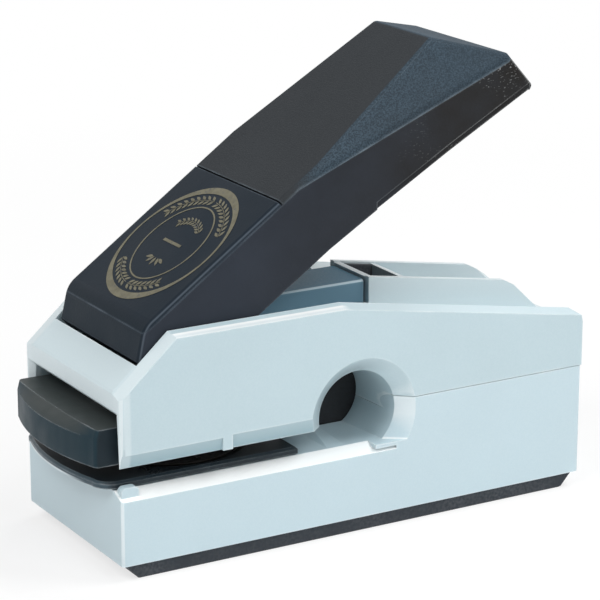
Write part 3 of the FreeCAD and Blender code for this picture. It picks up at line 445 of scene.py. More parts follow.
@dataclass(frozen=True)
class Finish:
    """A plain surface finish, and the values that every kind shares.

    Attributes:
        gloss: Ramp from the look's mask to a change of the roughness.
        relief: Strength and depth of the bumps.
        wear: Width, breaks per metre and amount of the worn edges, which on the mouldings are
            partly painted highlights.
        edge_highlight_share: Mask that the amount of wear follows, to place painted edge
            highlights.
        patches: Areas of another colour: painted shade and painted light.
        painted_highlights: Masks of painted highlights, as pale as a worn edge.
        clouds: Noise that shades the colour, by cloud_shade where cloud_patch is 1.
        smudges: Scale of the handling smudges.
        ripples: Noise of the broad ripples in the relief, with ripple_share as their height.
        grain: Scale and depth of the grain.
    """

    name: str
    colour: Colour
    roughness: float
    metallic: float = 0.0
    coat: float = 0.0
    coat_roughness: float = 0.34
    specular: float = 0.5
    gloss: Ramp = (0.0, 1.0, -0.05, 0.1)
    relief: Pair = (0.3, 0.0001)
    wear: Triple = (0.0005, 300.0, 0.4)
    edge_highlight_share: Mask = ()
    # Patches of painted shade and painted light, and masks of painted highlights.
    patches: tuple[Patch, ...] = ()
    painted_highlights: tuple[Mask, ...] = ()
    # Colour of the worn edges and of the painted highlights.
    wear_and_highlight_colour: Colour = (0.9, 0.93, 0.93)
    clouds: Noise = (24.0, 4.0)
    cloud_patch: Ramp = LUMPS
    cloud_shade: float = 0.955
    smudges: float = 30.0
    ripples: Noise = (60.0, 2.0)
    ripple_share: float = 0.7
    grain: Pair = (2200.0, 0.1)

    def look(self, graph: Graph) -> Look:
        """Paint the colour with its clouds, patches of painted light, worn edges and painted
        highlights, and the fine grain.

        Args:
            graph: The material's graph.

        Returns:
            The outputs for the shader.
        """
        tone = self.patched(graph, self.clouded(graph, self.colour))
        return Look(graph.mix(self.polished(graph), tone, self.wear_and_highlight_colour),
                    self.smudged(graph), self.grained(graph)["Height"])

    def build(self) -> bpy.types.Material:
        """Make the material.

        Returns:
            The new material.
        """
        material = bpy.data.materials.new(self.name)
        material.use_nodes = True
        graph = Graph(material.node_tree)
        shader = graph.wire(
            material.node_tree.nodes["Principled BSDF"], Base_Color=self.colour,
            Roughness=self.roughness, Metallic=self.metallic, Coat_Weight=self.coat,
            Coat_Roughness=self.coat_roughness, Specular_IOR_Level=self.specular)
        look = self.look(graph)
        low, high, less, more = self.gloss
        rough = graph.ramp(look.mask, (low, high, self.roughness + less, self.roughness + more))
        strength, depth = self.relief
        bump = graph.wire(graph.node("ShaderNodeBump"), Strength=strength, Distance=depth,
                          Height=look.height)
        graph.wire(shader, Base_Color=look.colour, Roughness=rough, Normal=bump.outputs[0])
        return material

    def clouded(self, graph: Graph, tone: Any) -> Socket:
        """Colour with soft clouds over it."""
        return graph.mix(graph.ramp(graph.noise(*self.clouds), self.cloud_patch), tone,
                         times(self.colour, self.cloud_shade))

    def patched(self, graph: Graph, tone: Socket) -> Socket:
        """Colour with the finish's patches of painted shade and painted light over it."""
        return reduce(lambda under, patch: graph.mix(graph.mask(patch.mask), under,
                                                     patch.colour), self.patches, tone)

    def worn(self, graph: Graph) -> Socket:
        """Mask of the worn edges, which on the mouldings also carry painted edge highlights."""
        width, breaks, amount = self.wear
        return graph.group(Effect.EDGE_WEAR, Width=width, Break=breaks,
                           Amount=graph.mask(self.edge_highlight_share, amount))[0]

    def polished(self, graph: Graph) -> Socket:
        """Mask of the worn edges and the painted highlights."""
        return graph.most(self.worn(graph), *(graph.mask(area) for area in self.painted_highlights))

    def smudged(self, graph: Graph) -> Socket:
        """Mask of the handling smudges."""
        return graph.group(Effect.SMUDGE, Scale=self.smudges)[0]

    def grained(self, graph: Graph) -> Any:
        """Outputs Height and Shade of the grain."""
        return graph.group(Effect.GRAIN, Scale=self.grain[0], Depth=self.grain[1])

    def rippled(self, graph: Graph) -> Socket:
        """Height of the grain on broad ripples."""
        broad = graph.product(graph.noise(*self.ripples), self.ripple_share)
        return graph.math("ADD", broad, self.grained(graph)["Height"])


@dataclass(frozen=True)
class ShellPlastic(Finish):
    """Glossy moulding with a fine sheen, and pale edges that are worn and partly painted
    highlight.
    """

    gloss: Ramp = (0.0, 1.0, -0.05, 0.08)
    relief: Pair = (0.25, 0.0003)
    wear: Triple = (0.0007, 120.0, 0.55)
    speck_scale: float = 2600.0
    speck_share: float = 0.05

    def look(self, graph: Graph) -> Look:
        """Paint the moulding.

        Args:
            graph: The material's graph.

        Returns:
            The outputs for the shader.
        """
        speck = graph.group(Effect.GRAIN, Scale=self.speck_scale)["Shade"]
        tone = graph.mix(graph.product(speck, self.speck_share),
                         self.clouded(graph, self.colour), self.wear_and_highlight_colour)
        tone = self.patched(graph, tone)
        return Look(graph.mix(self.polished(graph), tone, self.wear_and_highlight_colour),
                    self.smudged(graph), self.rippled(graph))


@dataclass(frozen=True)
class HandlePlastic(Finish):
    """Dark smooth moulding, bluer at the front, browner and scuffed towards the tail."""

    gloss: Ramp = (0.0, 1.0, -0.06, 0.12)
    relief: Pair = (0.3, 0.0004)
    wear: Triple = (0.0006, 90.0, 0.8)
    wear_and_highlight_colour: Colour = (0.10, 0.125, 0.155)
    clouds: Noise = (55.0, 5.0, 0.6)
    cloud_patch: Ramp = (0.35, 0.7, 0.0, 0.30)
    cloud_shade: float = 1.5
    smudges: float = 46.0
    ripples: Noise = (35.0, 2.0)
    ripple_share: float = 0.6
    grain: Pair = (1500.0, 0.18)
    tail_colour: Colour = (0.02, 0.019, 0.018)
    tail_along: Ramp = (-0.030, 0.030)
    drifts: Noise = (30.0, 3.0)
    drift: float = 0.03
    # Colour of the scuffs and of the pale tail edges, which are painted highlights as well as
    # wear.
    scuff_and_highlight_colour: Colour = (0.25, 0.26, 0.26)
    scuff_along: Ramp = (0.012, 0.045)
    fleck_scale: float = 2300.0
    fleck_cover: float = 0.8

    def look(self, graph: Graph) -> Look:
        """Paint the handle.

        Args:
            graph: The material's graph.

        Returns:
            The outputs for the shader.
        """
        lumps = graph.math("SUBTRACT", graph.noise(*self.drifts), 0.5)
        along = graph.math("ADD", graph.measure("x"), graph.product(lumps, self.drift))
        far = graph.ramp(along, self.tail_along)
        tone = self.clouded(graph, graph.mix(far, self.colour, self.tail_colour))
        # Pale edges and creases, turning to the scuff colour towards the tail: wear and painted
        # highlights.
        tone = graph.mix(self.polished(graph), self.patched(graph, tone),
                         graph.mix(far, self.wear_and_highlight_colour, self.scuff_and_highlight_colour))
        flecks = graph.group(Effect.FLECKS, Scale=self.fleck_scale, Cover=self.fleck_cover)[0]
        scuffs = graph.product(flecks, graph.ramp(along, self.scuff_along))
        return Look(graph.mix(scuffs, tone, self.scuff_and_highlight_colour), self.smudged(graph),
                    self.rippled(graph))


@dataclass(frozen=True)
class GripRubber(Finish):
    """Stippled charcoal grip, with a painted blue-grey reflection on the facets that slope
    away.
    """

    gloss: Ramp = (0.0, 1.0, -0.08, 0.1)
    relief: Pair = (0.4, 0.00016)
    wear: Triple = (0.0007, 150.0, 0.6)
    wear_and_highlight_colour: Colour = (0.20, 0.25, 0.29)
    grain: Pair = (2700.0, 1.0)
    fine_scale: float = 3600.0
    fine_height: float = 0.35
    fine_share: float = 0.6
    fine_shade: float = 1.18
    # Blue-grey of the sloping facets: painted reflection.
    facet_reflection_colour: Colour = from_screen(62, 76, 87)
    facet_turn: Ramp = (0.995, 0.93)
    facet_along: Ramp = (-0.0165, -0.0105)
    facet_stipple: Ramp = (0.2, 1.0, 0.0, 0.8)
    facet_shades: Pair = (0.6, 1.45)
    tail_along: Ramp = (0.0, 0.05, 0.0, 0.4)
    tail_shade: float = 0.62
    patch_scale: float = 34.0
    patch_amount: float = 0.35
    patch_shade: float = 0.8

    def look(self, graph: Graph) -> Look:
        """Paint the grip.

        Args:
            graph: The material's graph.

        Returns:
            The outputs for the shader.
        """
        top = (-math.sin(PANEL_SLOPE), 0.0, math.cos(PANEL_SLOPE))
        facing = graph.node("ShaderNodeTexCoord").outputs["Normal"]
        square = graph.vector("DOT_PRODUCT", facing, top).outputs["Value"]
        along = graph.measure("x")
        turned = graph.product(graph.ramp(square, self.facet_turn),
                               graph.ramp(along, self.facet_along))
        grain = self.grained(graph)
        fine = graph.group(Effect.GRAIN, Scale=self.fine_scale)
        # Painted blue-grey reflection on the facets, stippled and darker towards the tail.
        dark, light = (times(self.facet_reflection_colour, shade) for shade in self.facet_shades)
        facet = graph.mix(graph.ramp(grain["Shade"], self.facet_stipple), dark, light)
        facet = graph.mix(graph.ramp(along, self.tail_along), facet,
                          times(self.facet_reflection_colour, self.tail_shade))
        flat = graph.mix(graph.product(fine["Shade"], self.fine_share), self.colour,
                         times(self.colour, self.fine_shade))
        dull = graph.group(Effect.SMUDGE, Scale=self.patch_scale, Amount=self.patch_amount)[0]
        tone = graph.mix(dull, graph.mix(turned, flat, facet),
                         times(self.colour, self.patch_shade))
        height = graph.math("ADD", grain["Height"],
                            graph.product(fine["Height"], self.fine_height))
        return Look(graph.mix(self.worn(graph), tone, self.wear_and_highlight_colour), grain["Shade"], height)


@dataclass(frozen=True)
class SatinPlastic(Finish):
    """Dark satin moulding of the die cartridge, with bright corners: worn edges and painted
    highlights.
    """

    relief: Pair = (0.3, 0.00015)
    wear: Triple = (0.0005, 210.0, 0.8)
    wear_and_highlight_colour: Colour = (0.42, 0.46, 0.48)
    clouds: Noise = (80.0, 4.0)
    cloud_shade: float = 1.35
    smudges: float = 70.0
    grain: Pair = (2400.0, 0.35)


@dataclass(frozen=True)
class FootRubber(Finish):
    """Dull dark rubber with dust in its pores."""

    gloss: Ramp = (0.0, 0.4, 0.0, 0.12)
    relief: Pair = (0.5, 0.0002)
    wear: Triple = (0.0006, 160.0, 0.35)
    wear_and_highlight_colour: Colour = (0.16, 0.17, 0.18)
    smudges: float = 52.0
    grain: Pair = (1300.0, 1.0)
    dust_share: float = 0.35

    def look(self, graph: Graph) -> Look:
        """Paint the rubber.

        Args:
            graph: The material's graph.

        Returns:
            The outputs for the shader.
        """
        pores = self.grained(graph)
        dust = graph.product(self.smudged(graph),
                             graph.product(pores["Shade"], self.dust_share))
        tone = graph.mix(dust, self.colour, self.wear_and_highlight_colour)
        return Look(graph.mix(self.worn(graph), tone, self.wear_and_highlight_colour), dust, pores["Height"])


@dataclass(frozen=True)
class CastIron(Finish):
    """Black enamel over a sand-cast surface."""

    gloss: Ramp = (*LUMPS, -0.06, 0.12)
    relief: Pair = (0.45, 0.00035)
    wear_and_highlight_colour: Colour = (0.14, 0.14, 0.145)
    clouds: Noise = (900.0, 5.0, 0.6)
    cloud_patch: Ramp = (0.35, 0.7)
    cloud_shade: float = 1.7

    def look(self, graph: Graph) -> Look:
        """Paint the casting.

        Args:
            graph: The material's graph.

        Returns:
            The outputs for the shader.
        """
        sand = graph.noise(*self.clouds)
        tone = self.clouded(graph, self.colour)
        return Look(graph.mix(self.worn(graph), tone, self.wear_and_highlight_colour), sand, sand)


@dataclass(frozen=True)
class WorkedMetal(Finish):
    """Metal with fine working marks: brushed plate, turned pin or struck die."""

    gloss: Ramp = (*LUMPS, -0.05, 0.14)
    metallic: float = 1.0
    marks: Triple = (1.0, 1.0, 1.0)
    mark_scale: float = 260.0
    mark_weights: Pair = (4.0, 0.65)
    mark_patch: Ramp = (*LUMPS, 0.0, 0.5)
    mark_shade: float = 0.78
    stain: Colour = (0.30, 0.28, 0.25)
    stain_scale: float = 90.0
    stain_amount: float = 0.35

    def look(self, graph: Graph) -> Look:
        """Paint the metal.

        Args:
            graph: The material's graph.

        Returns:
            The outputs for the shader.
        """
        place = graph.vector("MULTIPLY", graph.coordinates(), self.marks).outputs[0]
        lines = graph.noise(self.mark_scale, *self.mark_weights, place=place)
        tone = graph.mix(graph.ramp(lines, self.mark_patch), self.colour,
                         times(self.colour, self.mark_shade))
        blot = graph.group(Effect.SMUDGE, Scale=self.stain_scale, Amount=self.stain_amount)[0]
        return Look(graph.mix(blot, tone, self.stain), lines, lines)


@dataclass(frozen=True)
class WornFoil(Finish):
    """Hot-stamped foil, dulled to olive gold and rubbed through in places."""

    gloss: Ramp = (0.0, 1.0, -0.08, 0.1)
    relief: Pair = (0.3, 0.00005)
    clouds: Noise = (420.0, 4.0, 0.6)
    cloud_shade: float = 0.66
    rubbed_colour: Colour = (0.04, 0.045, 0.055)
    specks: Noise = (900.0, 5.0, 0.7)
    speck_patch: Ramp = (0.54, 0.66)
    areas: Noise = (110.0, 2.0)
    area_patch: Ramp = (0.42, 0.6)

    def look(self, graph: Graph) -> Look:
        """Paint the foil.

        Args:
            graph: The material's graph.

        Returns:
            The outputs for the shader.
        """
        shade = graph.ramp(graph.noise(*self.clouds), self.cloud_patch)
        tone = graph.mix(shade, self.colour, times(self.colour, self.cloud_shade))
        rubbed = graph.product(graph.ramp(graph.noise(*self.specks), self.speck_patch),
                               graph.ramp(graph.noise(*self.areas), self.area_patch))
        return Look(graph.mix(rubbed, tone, self.rubbed_colour), shade, shade)


def slopes(top: float, slope: float, corner: float) -> tuple[Mask, Mask]:
    """Painted highlights on the slopes of a moulding, from its sides to its tops and to its
    front.

    Args:
        top: Height up to which the slopes to the tops count.
        slope: Share of the slopes to the tops.
        corner: Share of the slopes to the front.

    Returns:
        The mask of either kind.
    """
    side = (("|ny|", 0.2, 0.4), ("|ny|", 0.98, 0.9))
    return ((*side, ("nz", 0.15, 0.35, 0.0, slope), ("z", top, top - 0.0004)),
            (*side, ("nx", -0.2, -0.4, 0.0, corner), ("|nz|", 0.3, 0.1)))


# Masks of the housing's painted light: painted highlights on the brow strip, the rims along the
# top edges and the front corner, and a paler front face and rear deck.
BEFORE_BROW: Mask = (("x", -0.0447, -0.0467),)
FRONT_FACE_LIGHT: Mask = (*BEFORE_BROW, ("nx", -0.85, -0.95, 0.0, 0.30))
BROW: Mask = (*BEFORE_BROW, ("nx", -0.3, -0.55), ("|y|", 0.0222, 0.0226, 0.20, 0.33))
TOP: Mask = (("nz", 0.5, 0.7), ("z", 0.050, 0.052), ("x", -0.0512, -0.0502),
             ("x", -0.0030, -0.0050))
INNER_RIM_HIGHLIGHT: Mask = (*TOP, ("|y|", 0.0235, 0.0239), ("|y|", 0.0241, 0.0250, 1.0, 0.55))
OUTER_RIM_HIGHLIGHT: Mask = (*TOP, ("|y|", 0.0254, 0.0257, 0.0, 0.8))
FRONT_ROLL_LIGHT: Mask = (("x", -0.0625, -0.0631, 0.0, 0.25), ("|ny|", 0.9, 0.98))
REAR_DECK_LIGHT: Mask = (("nx", 0.5, 0.3, 0.0, 0.28), ("|y|", 0.0215, 0.0213), ("z", 0.040, 0.041),
                   ("x", 0.0020, 0.0060))
# Painted shade of the housing: under its lower rim band and in the bevel of the side opening.
UNDERCUT_SHADE: Mask = (("nz", -0.08, -0.16), ("|ny|", 0.8, 0.9), ("z", 0.0335, 0.0327),
                  ("z", 0.0319, 0.0283, 0.4, 1.0))
OPENING_BEVEL_SHADE: Mask = (("|ny|", 0.66, 0.72), ("|ny|", 0.84, 0.78), ("z", 0.053, 0.052),
                       ("nx", -0.45, 0.0), ("x", -0.022, -0.020),
                       ("|y|", 0.0225, 0.0260, 1.0, 0.3))
# Painted highlight along the handle's rounded creases.
CREASE_HIGHLIGHT: Mask = (("|ny|", 0.5, 0.64, 0.0, 0.55), ("|ny|", 0.84, 0.7))
# Painted highlight along the lip of the die tray.
TRAY_LIP_HIGHLIGHT: Mask = (("nx", -0.1, -0.3), ("z", 0.0229, 0.0227), ("y", -0.015, -0.005))

SHELL_COLOUR = from_screen(189, 210, 218)
# The housing is the base shell's plastic, a touch darker as painted shade.
HOUSING_SHADED_COLOUR = from_screen(183, 204, 211)
CARTRIDGE_COLOUR = from_screen(28, 38, 44)
# Darker front of the handle's nose: painted shade.
NOSE = Patch((0.010, 0.018, 0.026), (("nx", -0.75, -0.92, 0.0, 0.8),))

PRESS_FINISHES: tuple[Finish, ...] = (
    # The base shell's front faces are darker as painted shade, and its slopes paler as painted
    # highlights.
    ShellPlastic("shell plastic", SHELL_COLOUR, 0.42, coat=0.6,
                 patches=(Patch(times(SHELL_COLOUR, 0.9), (("nx", -0.85, -0.97),)),),
                 painted_highlights=slopes(0.0225, 0.96, 0.45)),
    # The housing's darker patches are painted shade; its pale masks are painted highlights and
    # light.
    ShellPlastic("housing plastic", HOUSING_SHADED_COLOUR, 0.42, coat=0.6,
                 patches=(Patch(times(HOUSING_SHADED_COLOUR, 0.6), OPENING_BEVEL_SHADE),
                          Patch((0.249, 0.385, 0.436), UNDERCUT_SHADE)),
                 painted_highlights=(*slopes(0.0225, 0.96, 0.45), FRONT_FACE_LIGHT, BROW, INNER_RIM_HIGHLIGHT, OUTER_RIM_HIGHLIGHT,
                         FRONT_ROLL_LIGHT, REAR_DECK_LIGHT)),
    # Dark blue-grey cover in the pocket under the handle; its lighter sides are painted light
    # and its pale top edge is a painted highlight.
    ShellPlastic("dark cover plastic", from_screen(80, 126, 150), 0.42, coat=0.1, specular=0.04,
                 wear_and_highlight_colour=(0.66, 0.80, 0.86),
                 patches=(Patch((0.185, 0.325, 0.42), (("|ny|", 0.75, 0.95),)),),
                 painted_highlights=slopes(0.07, 0.85, 0.85)),
    HandlePlastic("handle plastic", from_screen(47, 52, 60), 0.42, specular=0.06,
                  patches=(NOSE,), painted_highlights=(CREASE_HIGHLIGHT,)),
    HandlePlastic("panel plastic", from_screen(29, 37, 45), 0.36, specular=0.05,
                  patches=(NOSE,), painted_highlights=(CREASE_HIGHLIGHT,), tail_along=(0.05, 0.09)),
    GripRubber("grip rubber", from_screen(51, 54, 57), 0.62, specular=0.06),
    # The cartridge's bluer front faces and paler tops are painted light.
    SatinPlastic("cartridge plastic", CARTRIDGE_COLOUR, 0.46, specular=0.14,
                 patches=(Patch((0.010, 0.030, 0.042), (("nx", -0.35, -0.6, 0.0, 0.7),)),
                          Patch((0.042, 0.050, 0.050), (("nz", 0.35, 0.8),)))),
    # The tray's pale front edges and lip line are painted highlights; its bluer fronts are
    # painted light.
    SatinPlastic("tray plastic", CARTRIDGE_COLOUR, 0.30, specular=0.25,
                 wear=(0.0005, 210.0, 1.0), edge_highlight_share=(("nx", -0.1, -0.35, 0.25, 1.0),),
                 wear_and_highlight_colour=(0.60, 0.68, 0.72), painted_highlights=(TRAY_LIP_HIGHLIGHT,),
                 patches=(Patch((0.048, 0.078, 0.098), (("nx", -0.35, -0.6, 0.0, 0.8),)),)),
    FootRubber("foot rubber", from_screen(54, 59, 65), 0.72, specular=0.25),
    CastIron("casting enamel", from_screen(24, 26, 29), 0.5, specular=0.3),
    WorkedMetal("brushed plate", from_screen(176, 178, 180), 0.34, marks=(1.0, 14.0, 1.0)),
    WorkedMetal("turned steel", from_screen(188, 190, 192), 0.22, mark_scale=700.0,
                stain_amount=0.2),
    WorkedMetal("sintered bronze", from_screen(176, 138, 84), 0.42, mark_scale=1500.0),
    # The lower die's near-black colour is painted shade of its place under the housing; it also
    # has dark stains.
    WorkedMetal("blackened die", from_screen(58, 58, 56), 0.42, mark_scale=900.0,
                stain=(0.012, 0.012, 0.012), stain_amount=0.5),
    WornFoil("seal foil", from_screen(104, 100, 78), 0.42, metallic=0.2),
)


@dataclass
class FinishShop:
    """Every finish of the press, made once."""

    made: dict[str, bpy.types.Material] = field(default_factory=dict)

    def build(self) -> None:
        """Make all the materials."""
        for finish in PRESS_FINISHES:
            self.made[finish.name] = finish.build()
            LOG.info("finish %s", finish.name)

    def dress(self, piece: Piece, name: str) -> None:
        """Give a piece one finish all over.

        Args:
            piece: The object to dress.
            name: The finish's name.
        """
        material = self.made[name]
        if not piece.material_slots:
            piece.data.materials.append(material)
        for slot in piece.material_slots:
            slot.material = material


# ---- sub-assemblies
@dataclass
class SubAssembly:
    """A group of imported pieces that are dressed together.

    FINISHES names the pieces of each finish, and ROUNDING the width in metres to which the
    sharp edges of some of them are eased.
    """

    frame: Frame
    shop: FinishShop

    FINISHES = {}
    ROUNDING = {}
    WELD_REACH = 0.000002
    ROUNDING_STEPS = 3
    SHARP_ANGLE = math.radians(28.0)

    def ease_edges(self, piece: Piece, width: float) -> None:
        """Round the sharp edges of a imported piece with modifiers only.

        Args:
            piece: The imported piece.
            width: Width of the rounding in metres.
        """
        weld = piece.modifiers.new("weld", "WELD")
        weld.merge_threshold = self.WELD_REACH
        bevel = piece.modifiers.new("eased edges", "BEVEL")
        bevel.width = width
        bevel.segments = self.ROUNDING_STEPS
        bevel.limit_method = "ANGLE"
        bevel.angle_limit = self.SHARP_ANGLE
        bevel.use_clamp_overlap = True
        bevel.harden_normals = True

    def build(self) -> None:
        """Give every piece of the group its finish and its eased edges."""
        for finish, nodes in self.FINISHES.items():
            for node in nodes.split():
                piece = self.frame["nodes"][node]
                self.shop.dress(piece, finish)
                if node in self.ROUNDING:
                    self.ease_edges(piece, self.ROUNDING[node])
                LOG.info("dressed %s in %s", node, finish)


class Base(SubAssembly):
    """Foot, base moulding and what it holds."""

    FINISHES = {
        "foot rubber": "foot_pad",
        "brushed plate": "bottom_plate anvil_plate",
        "shell plastic": "base_shell",
        "turned steel": "frame_screws anvil_screws",
    }
    ROUNDING = {"base_shell": 0.0005, "foot_pad": 0.0005}


class Housing(SubAssembly):
    """Upper moulding, casting and the stop between the fins."""

    FINISHES = {
        "housing plastic": "upper_housing",
        "casting enamel": "c_frame",
        "foot rubber": "stop_buffer",
        "dark cover plastic": "spine_cover",
        "sintered bronze": "guide_bush",
        "turned steel": "housing_screws",
    }
    ROUNDING = {"upper_housing": 0.0006, "spine_cover": 0.0004}


class Cartridge(SubAssembly):
    """Both halves of the die cartridge."""

    FINISHES = {
        "tray plastic": "lower_die_tray",
        "cartridge plastic": "upper_die_holder upper_die",
        "blackened die": "lower_die",
    }
    ROUNDING = {"lower_die_tray": 0.0003, "upper_die_holder": 0.0007}


@dataclass
class Coil:
    """Conical coil of round wire on a floor, round an upright axis in the middle plane."""

    axis: float
    floor: float
    height: float
    base_radius: float
    top_radius: float
    wire: float
    turns: float = 3.0
    steps: int = 120
    sides: int = 10

    def angle(self, step: float) -> float:
        """Angle round the axis after some steps."""
        return math.tau * self.turns * step / self.steps

    def centre(self, step: float) -> Vector:
        """Point on the wire's middle line.

        Args:
            step: How many steps along the wire it lies.

        Returns:
            The point.
        """
        share = step / self.steps
        angle = self.angle(step)
        radius = self.base_radius + (self.top_radius - self.base_radius) * share
        return Vector((self.axis + radius * math.cos(angle), radius * math.sin(angle),
                       self.floor + self.wire / 2.0 + (self.height - self.wire) * share))

    def build(self) -> bmesh.types.BMesh:
        """Wind the coil.

        Returns:
            Its mesh.
        """
        mesh = bmesh.new()
        rings = []
        for step in range(self.steps + 1):
            angle = self.angle(step)
            outward = Vector((math.cos(angle), math.sin(angle), 0.0))
            upward = outward.cross(self.centre(step + 0.5) - self.centre(step - 0.5))
            upward.normalize()
            turns = [math.tau * side / self.sides for side in range(self.sides)]
            rings.append([mesh.verts.new(self.centre(step) + self.wire / 2.0
                                         * (outward * math.cos(turn) + upward * math.sin(turn)))
                          for turn in turns])
        for first, second in zip(rings, rings[1:]):
            for side in range(self.sides):
                after = (side + 1) % self.sides
                mesh.faces.new((first[side], first[after], second[after], second[side]))
        mesh.faces.new(rings[0])
        mesh.faces.new(rings[-1])
        return mesh


class Mechanism(SubAssembly):
    """Ram, spring, lever and the pins that join them."""

    SPRING_WIRE = 0.0009
    SPRING_GAP = 0.0003
    RAM_TRAVEL = 0.0038
    FINISHES = {
        "brushed plate": "ram_platen lever",
        "turned steel": "ram_shaft ram_cap pivot_pin pivot_clips cam_roller roller_pin "
                        "roller_clips",
        "sintered bronze": "lever_bushes roller_spacers",
    }

    def build(self) -> None:
        """Dress the mechanism and wind its spring."""
        super().build()
        self.wind_spring()

    def wind_spring(self) -> None:
        """Wind the conical return spring in place of the imported one."""
        low, high = (Vector(corner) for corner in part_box("return_spring"))
        cap_low, cap_high = (Vector(corner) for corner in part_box("ram_cap"))
        middle = (cap_low + cap_high) / 2.0
        height = high.z - low.z
        wire = self.SPRING_WIRE
        coil = Coil(middle.x, low.z, height, (high.y - low.y) / 2.0 - wire / 2.0,
                    (cap_high.y - cap_low.y) / 2.0 - wire - self.SPRING_GAP, wire)
        piece = add_mesh("return_coil", coil.build())
        piece.data.shade_smooth()
        self.shop.dress(piece, "turned steel")
        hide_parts("return_spring")
        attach(piece, "press_body")
        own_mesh(piece)
        LOG.info("wound return_coil")


@dataclass(frozen=True)
class Branch:
    """A curved branch of the printed seal, with pairs of leaves of one length.

    Its stem has a radius round the seal's middle, and goes from one angle to another, both in
    degrees from up the panel.
    """

    radius: float
    start: float
    stop: float
    pairs: int
    leaf: float


@dataclass
class Seal:
    """Plain foil ornament on the handle's front panel: rings, leafy branches and a fan.

    Its outlines are in seal coordinates: the distance up the panel from the seal's middle and
    the distance to the left of it.
    """

    mesh: bmesh.types.BMesh = field(default_factory=bmesh.new)

    # The panel's lower end, along the press and in height, and the seal's middle from there.
    NOSE = (-0.0563, 0.0602)
    ALONG = 0.0224
    ACROSS = -0.0003
    # Heights of the foil's underside and face over the panel.
    LIFTS = (0.00004, 0.00008)
    # Outer half-length and half-width of a ring, then its inner ones.
    OUTER_RING = (0.0190, 0.0177, 0.0168, 0.0171)
    INNER_RING = (0.0124, 0.0112, 0.0120, 0.01075)
    RING_STEPS = 144
    BRANCHES = (
        Branch(0.01455, -64.0, -2.0, 9, 0.0021),
        Branch(0.01455, 2.0, 66.0, 9, 0.0021),
        Branch(0.01455, 128.0, 174.0, 7, 0.0021),
        Branch(0.01455, 178.0, 224.0, 7, 0.0021),
        Branch(0.0074, -46.0, 46.0, 9, 0.0017),
    )
    STEM_WIDTH = 0.09
    LEAF_START = 0.6
    LEAF_REACH = 0.42
    LEAF_WIDTH = 0.40
    LEAF_LEAN = 38.0
    LEAF_SHAPE = (
        (-0.5, 0.0), (-0.3, 0.34), (-0.05, 0.5), (0.22, 0.36), (0.5, 0.0), (0.22, -0.36),
        (-0.05, -0.5), (-0.3, -0.34))
    DASH = (0.0004, 0.0042)
    FAN_LEAVES = 5
    FAN_STEP = 34.0
    FAN_MIDDLE = -0.0052
    FAN_RADII = (0.0014, 0.0030)
    FAN_LEAF = (0.0026, 0.0010)

    def place(self, along: float, across: float, lift: float) -> Vector:
        """Point over the front panel.

        Args:
            along: Distance up the panel from the seal's middle.
            across: Distance to the left of the seal's middle.
            lift: Height above the panel.

        Returns:
            The point in the row frame.
        """
        run = self.ALONG + along
        rise, level = math.sin(PANEL_SLOPE), math.cos(PANEL_SLOPE)
        return Vector((self.NOSE[0] + run * level - lift * rise, self.ACROSS + across,
                       self.NOSE[1] + run * rise + lift * level))

    def plate(self, outline: list[Pair]) -> None:
        """Add one thin foil plate with a convex outline.

        Args:
            outline: The outline's points.
        """
        low, high = ([self.mesh.verts.new(self.place(a, b, lift)) for a, b in outline]
                     for lift in self.LIFTS)
        self.mesh.faces.new(high)
        self.mesh.faces.new(list(reversed(low)))
        for index in range(len(outline)):
            after = (index + 1) % len(outline)
            self.mesh.faces.new((low[index], low[after], high[after], high[index]))

    def ring(self, sizes: Ramp, start: float = 0.0, stop: float = 360.0) -> None:
        """Add a foil ring, or an arc of one, between two ellipses.

        Args:
            sizes: Outer half-length, outer half-width, inner half-length, inner half-width.
            start: Where the arc starts, in degrees from up the panel.
            stop: Where it stops.
        """
        whole = stop - start >= 360.0
        steps = max(3, round(self.RING_STEPS * (stop - start) / 360.0))
        count = steps if whole else steps + 1
        turns = [math.radians(start + (stop - start) * step / steps) for step in range(count)]
        low_out, low_in, high_out, high_in = (
            [self.mesh.verts.new(self.place(a * math.cos(turn), b * math.sin(turn), lift))
             for turn in turns]
            for lift in self.LIFTS for a, b in (sizes[:2], sizes[2:]))
        for first, second in ((high_out, high_in), (low_out, high_out), (high_in, low_in),
                              (low_in, low_out)):
            for index in range(steps):
                after = (index + 1) % count
                self.mesh.faces.new((first[index], first[after], second[after], second[index]))
        if not whole:
            for end in (0, -1):
                self.mesh.faces.new((low_out[end], high_out[end], high_in[end], low_in[end]))

    def leaf(self, centre: Pair, angle: float, length: float, width: float) -> None:
        """Add one pointed leaf.

        Args:
            centre: Middle of the leaf.
            angle: Direction of its tip in degrees, 0 up the panel.
            length: Length from stalk to tip.
            width: Greatest width.
        """
        turn = math.radians(angle)
        ahead = (math.cos(turn), math.sin(turn))
        self.plate([(centre[0] + ahead[0] * u * length - ahead[1] * v * width,
                     centre[1] + ahead[1] * u * length + ahead[0] * v * width)
                    for u, v in self.LEAF_SHAPE])

    def branch(self, branch: Branch) -> None:
        """Add a branch: a thin stem with leaves on both sides.

        Args:
            branch: The branch.
        """
        radius, length = branch.radius, branch.leaf
        half = length * self.STEM_WIDTH / 2.0
        self.ring((radius + half, radius + half, radius - half, radius - half), branch.start,
                  branch.stop)
        for index in range(branch.pairs):
            share = (index + self.LEAF_START) / branch.pairs
            angle = branch.start + (branch.stop - branch.start) * share
            turn = math.radians(angle)
            for side in (1.0, -1.0):
                reach = radius + side * length * self.LEAF_REACH
                self.leaf((reach * math.cos(turn), reach * math.sin(turn)),
                          angle + 90.0 - side * self.LEAF_LEAN, length,
                          length * self.LEAF_WIDTH)

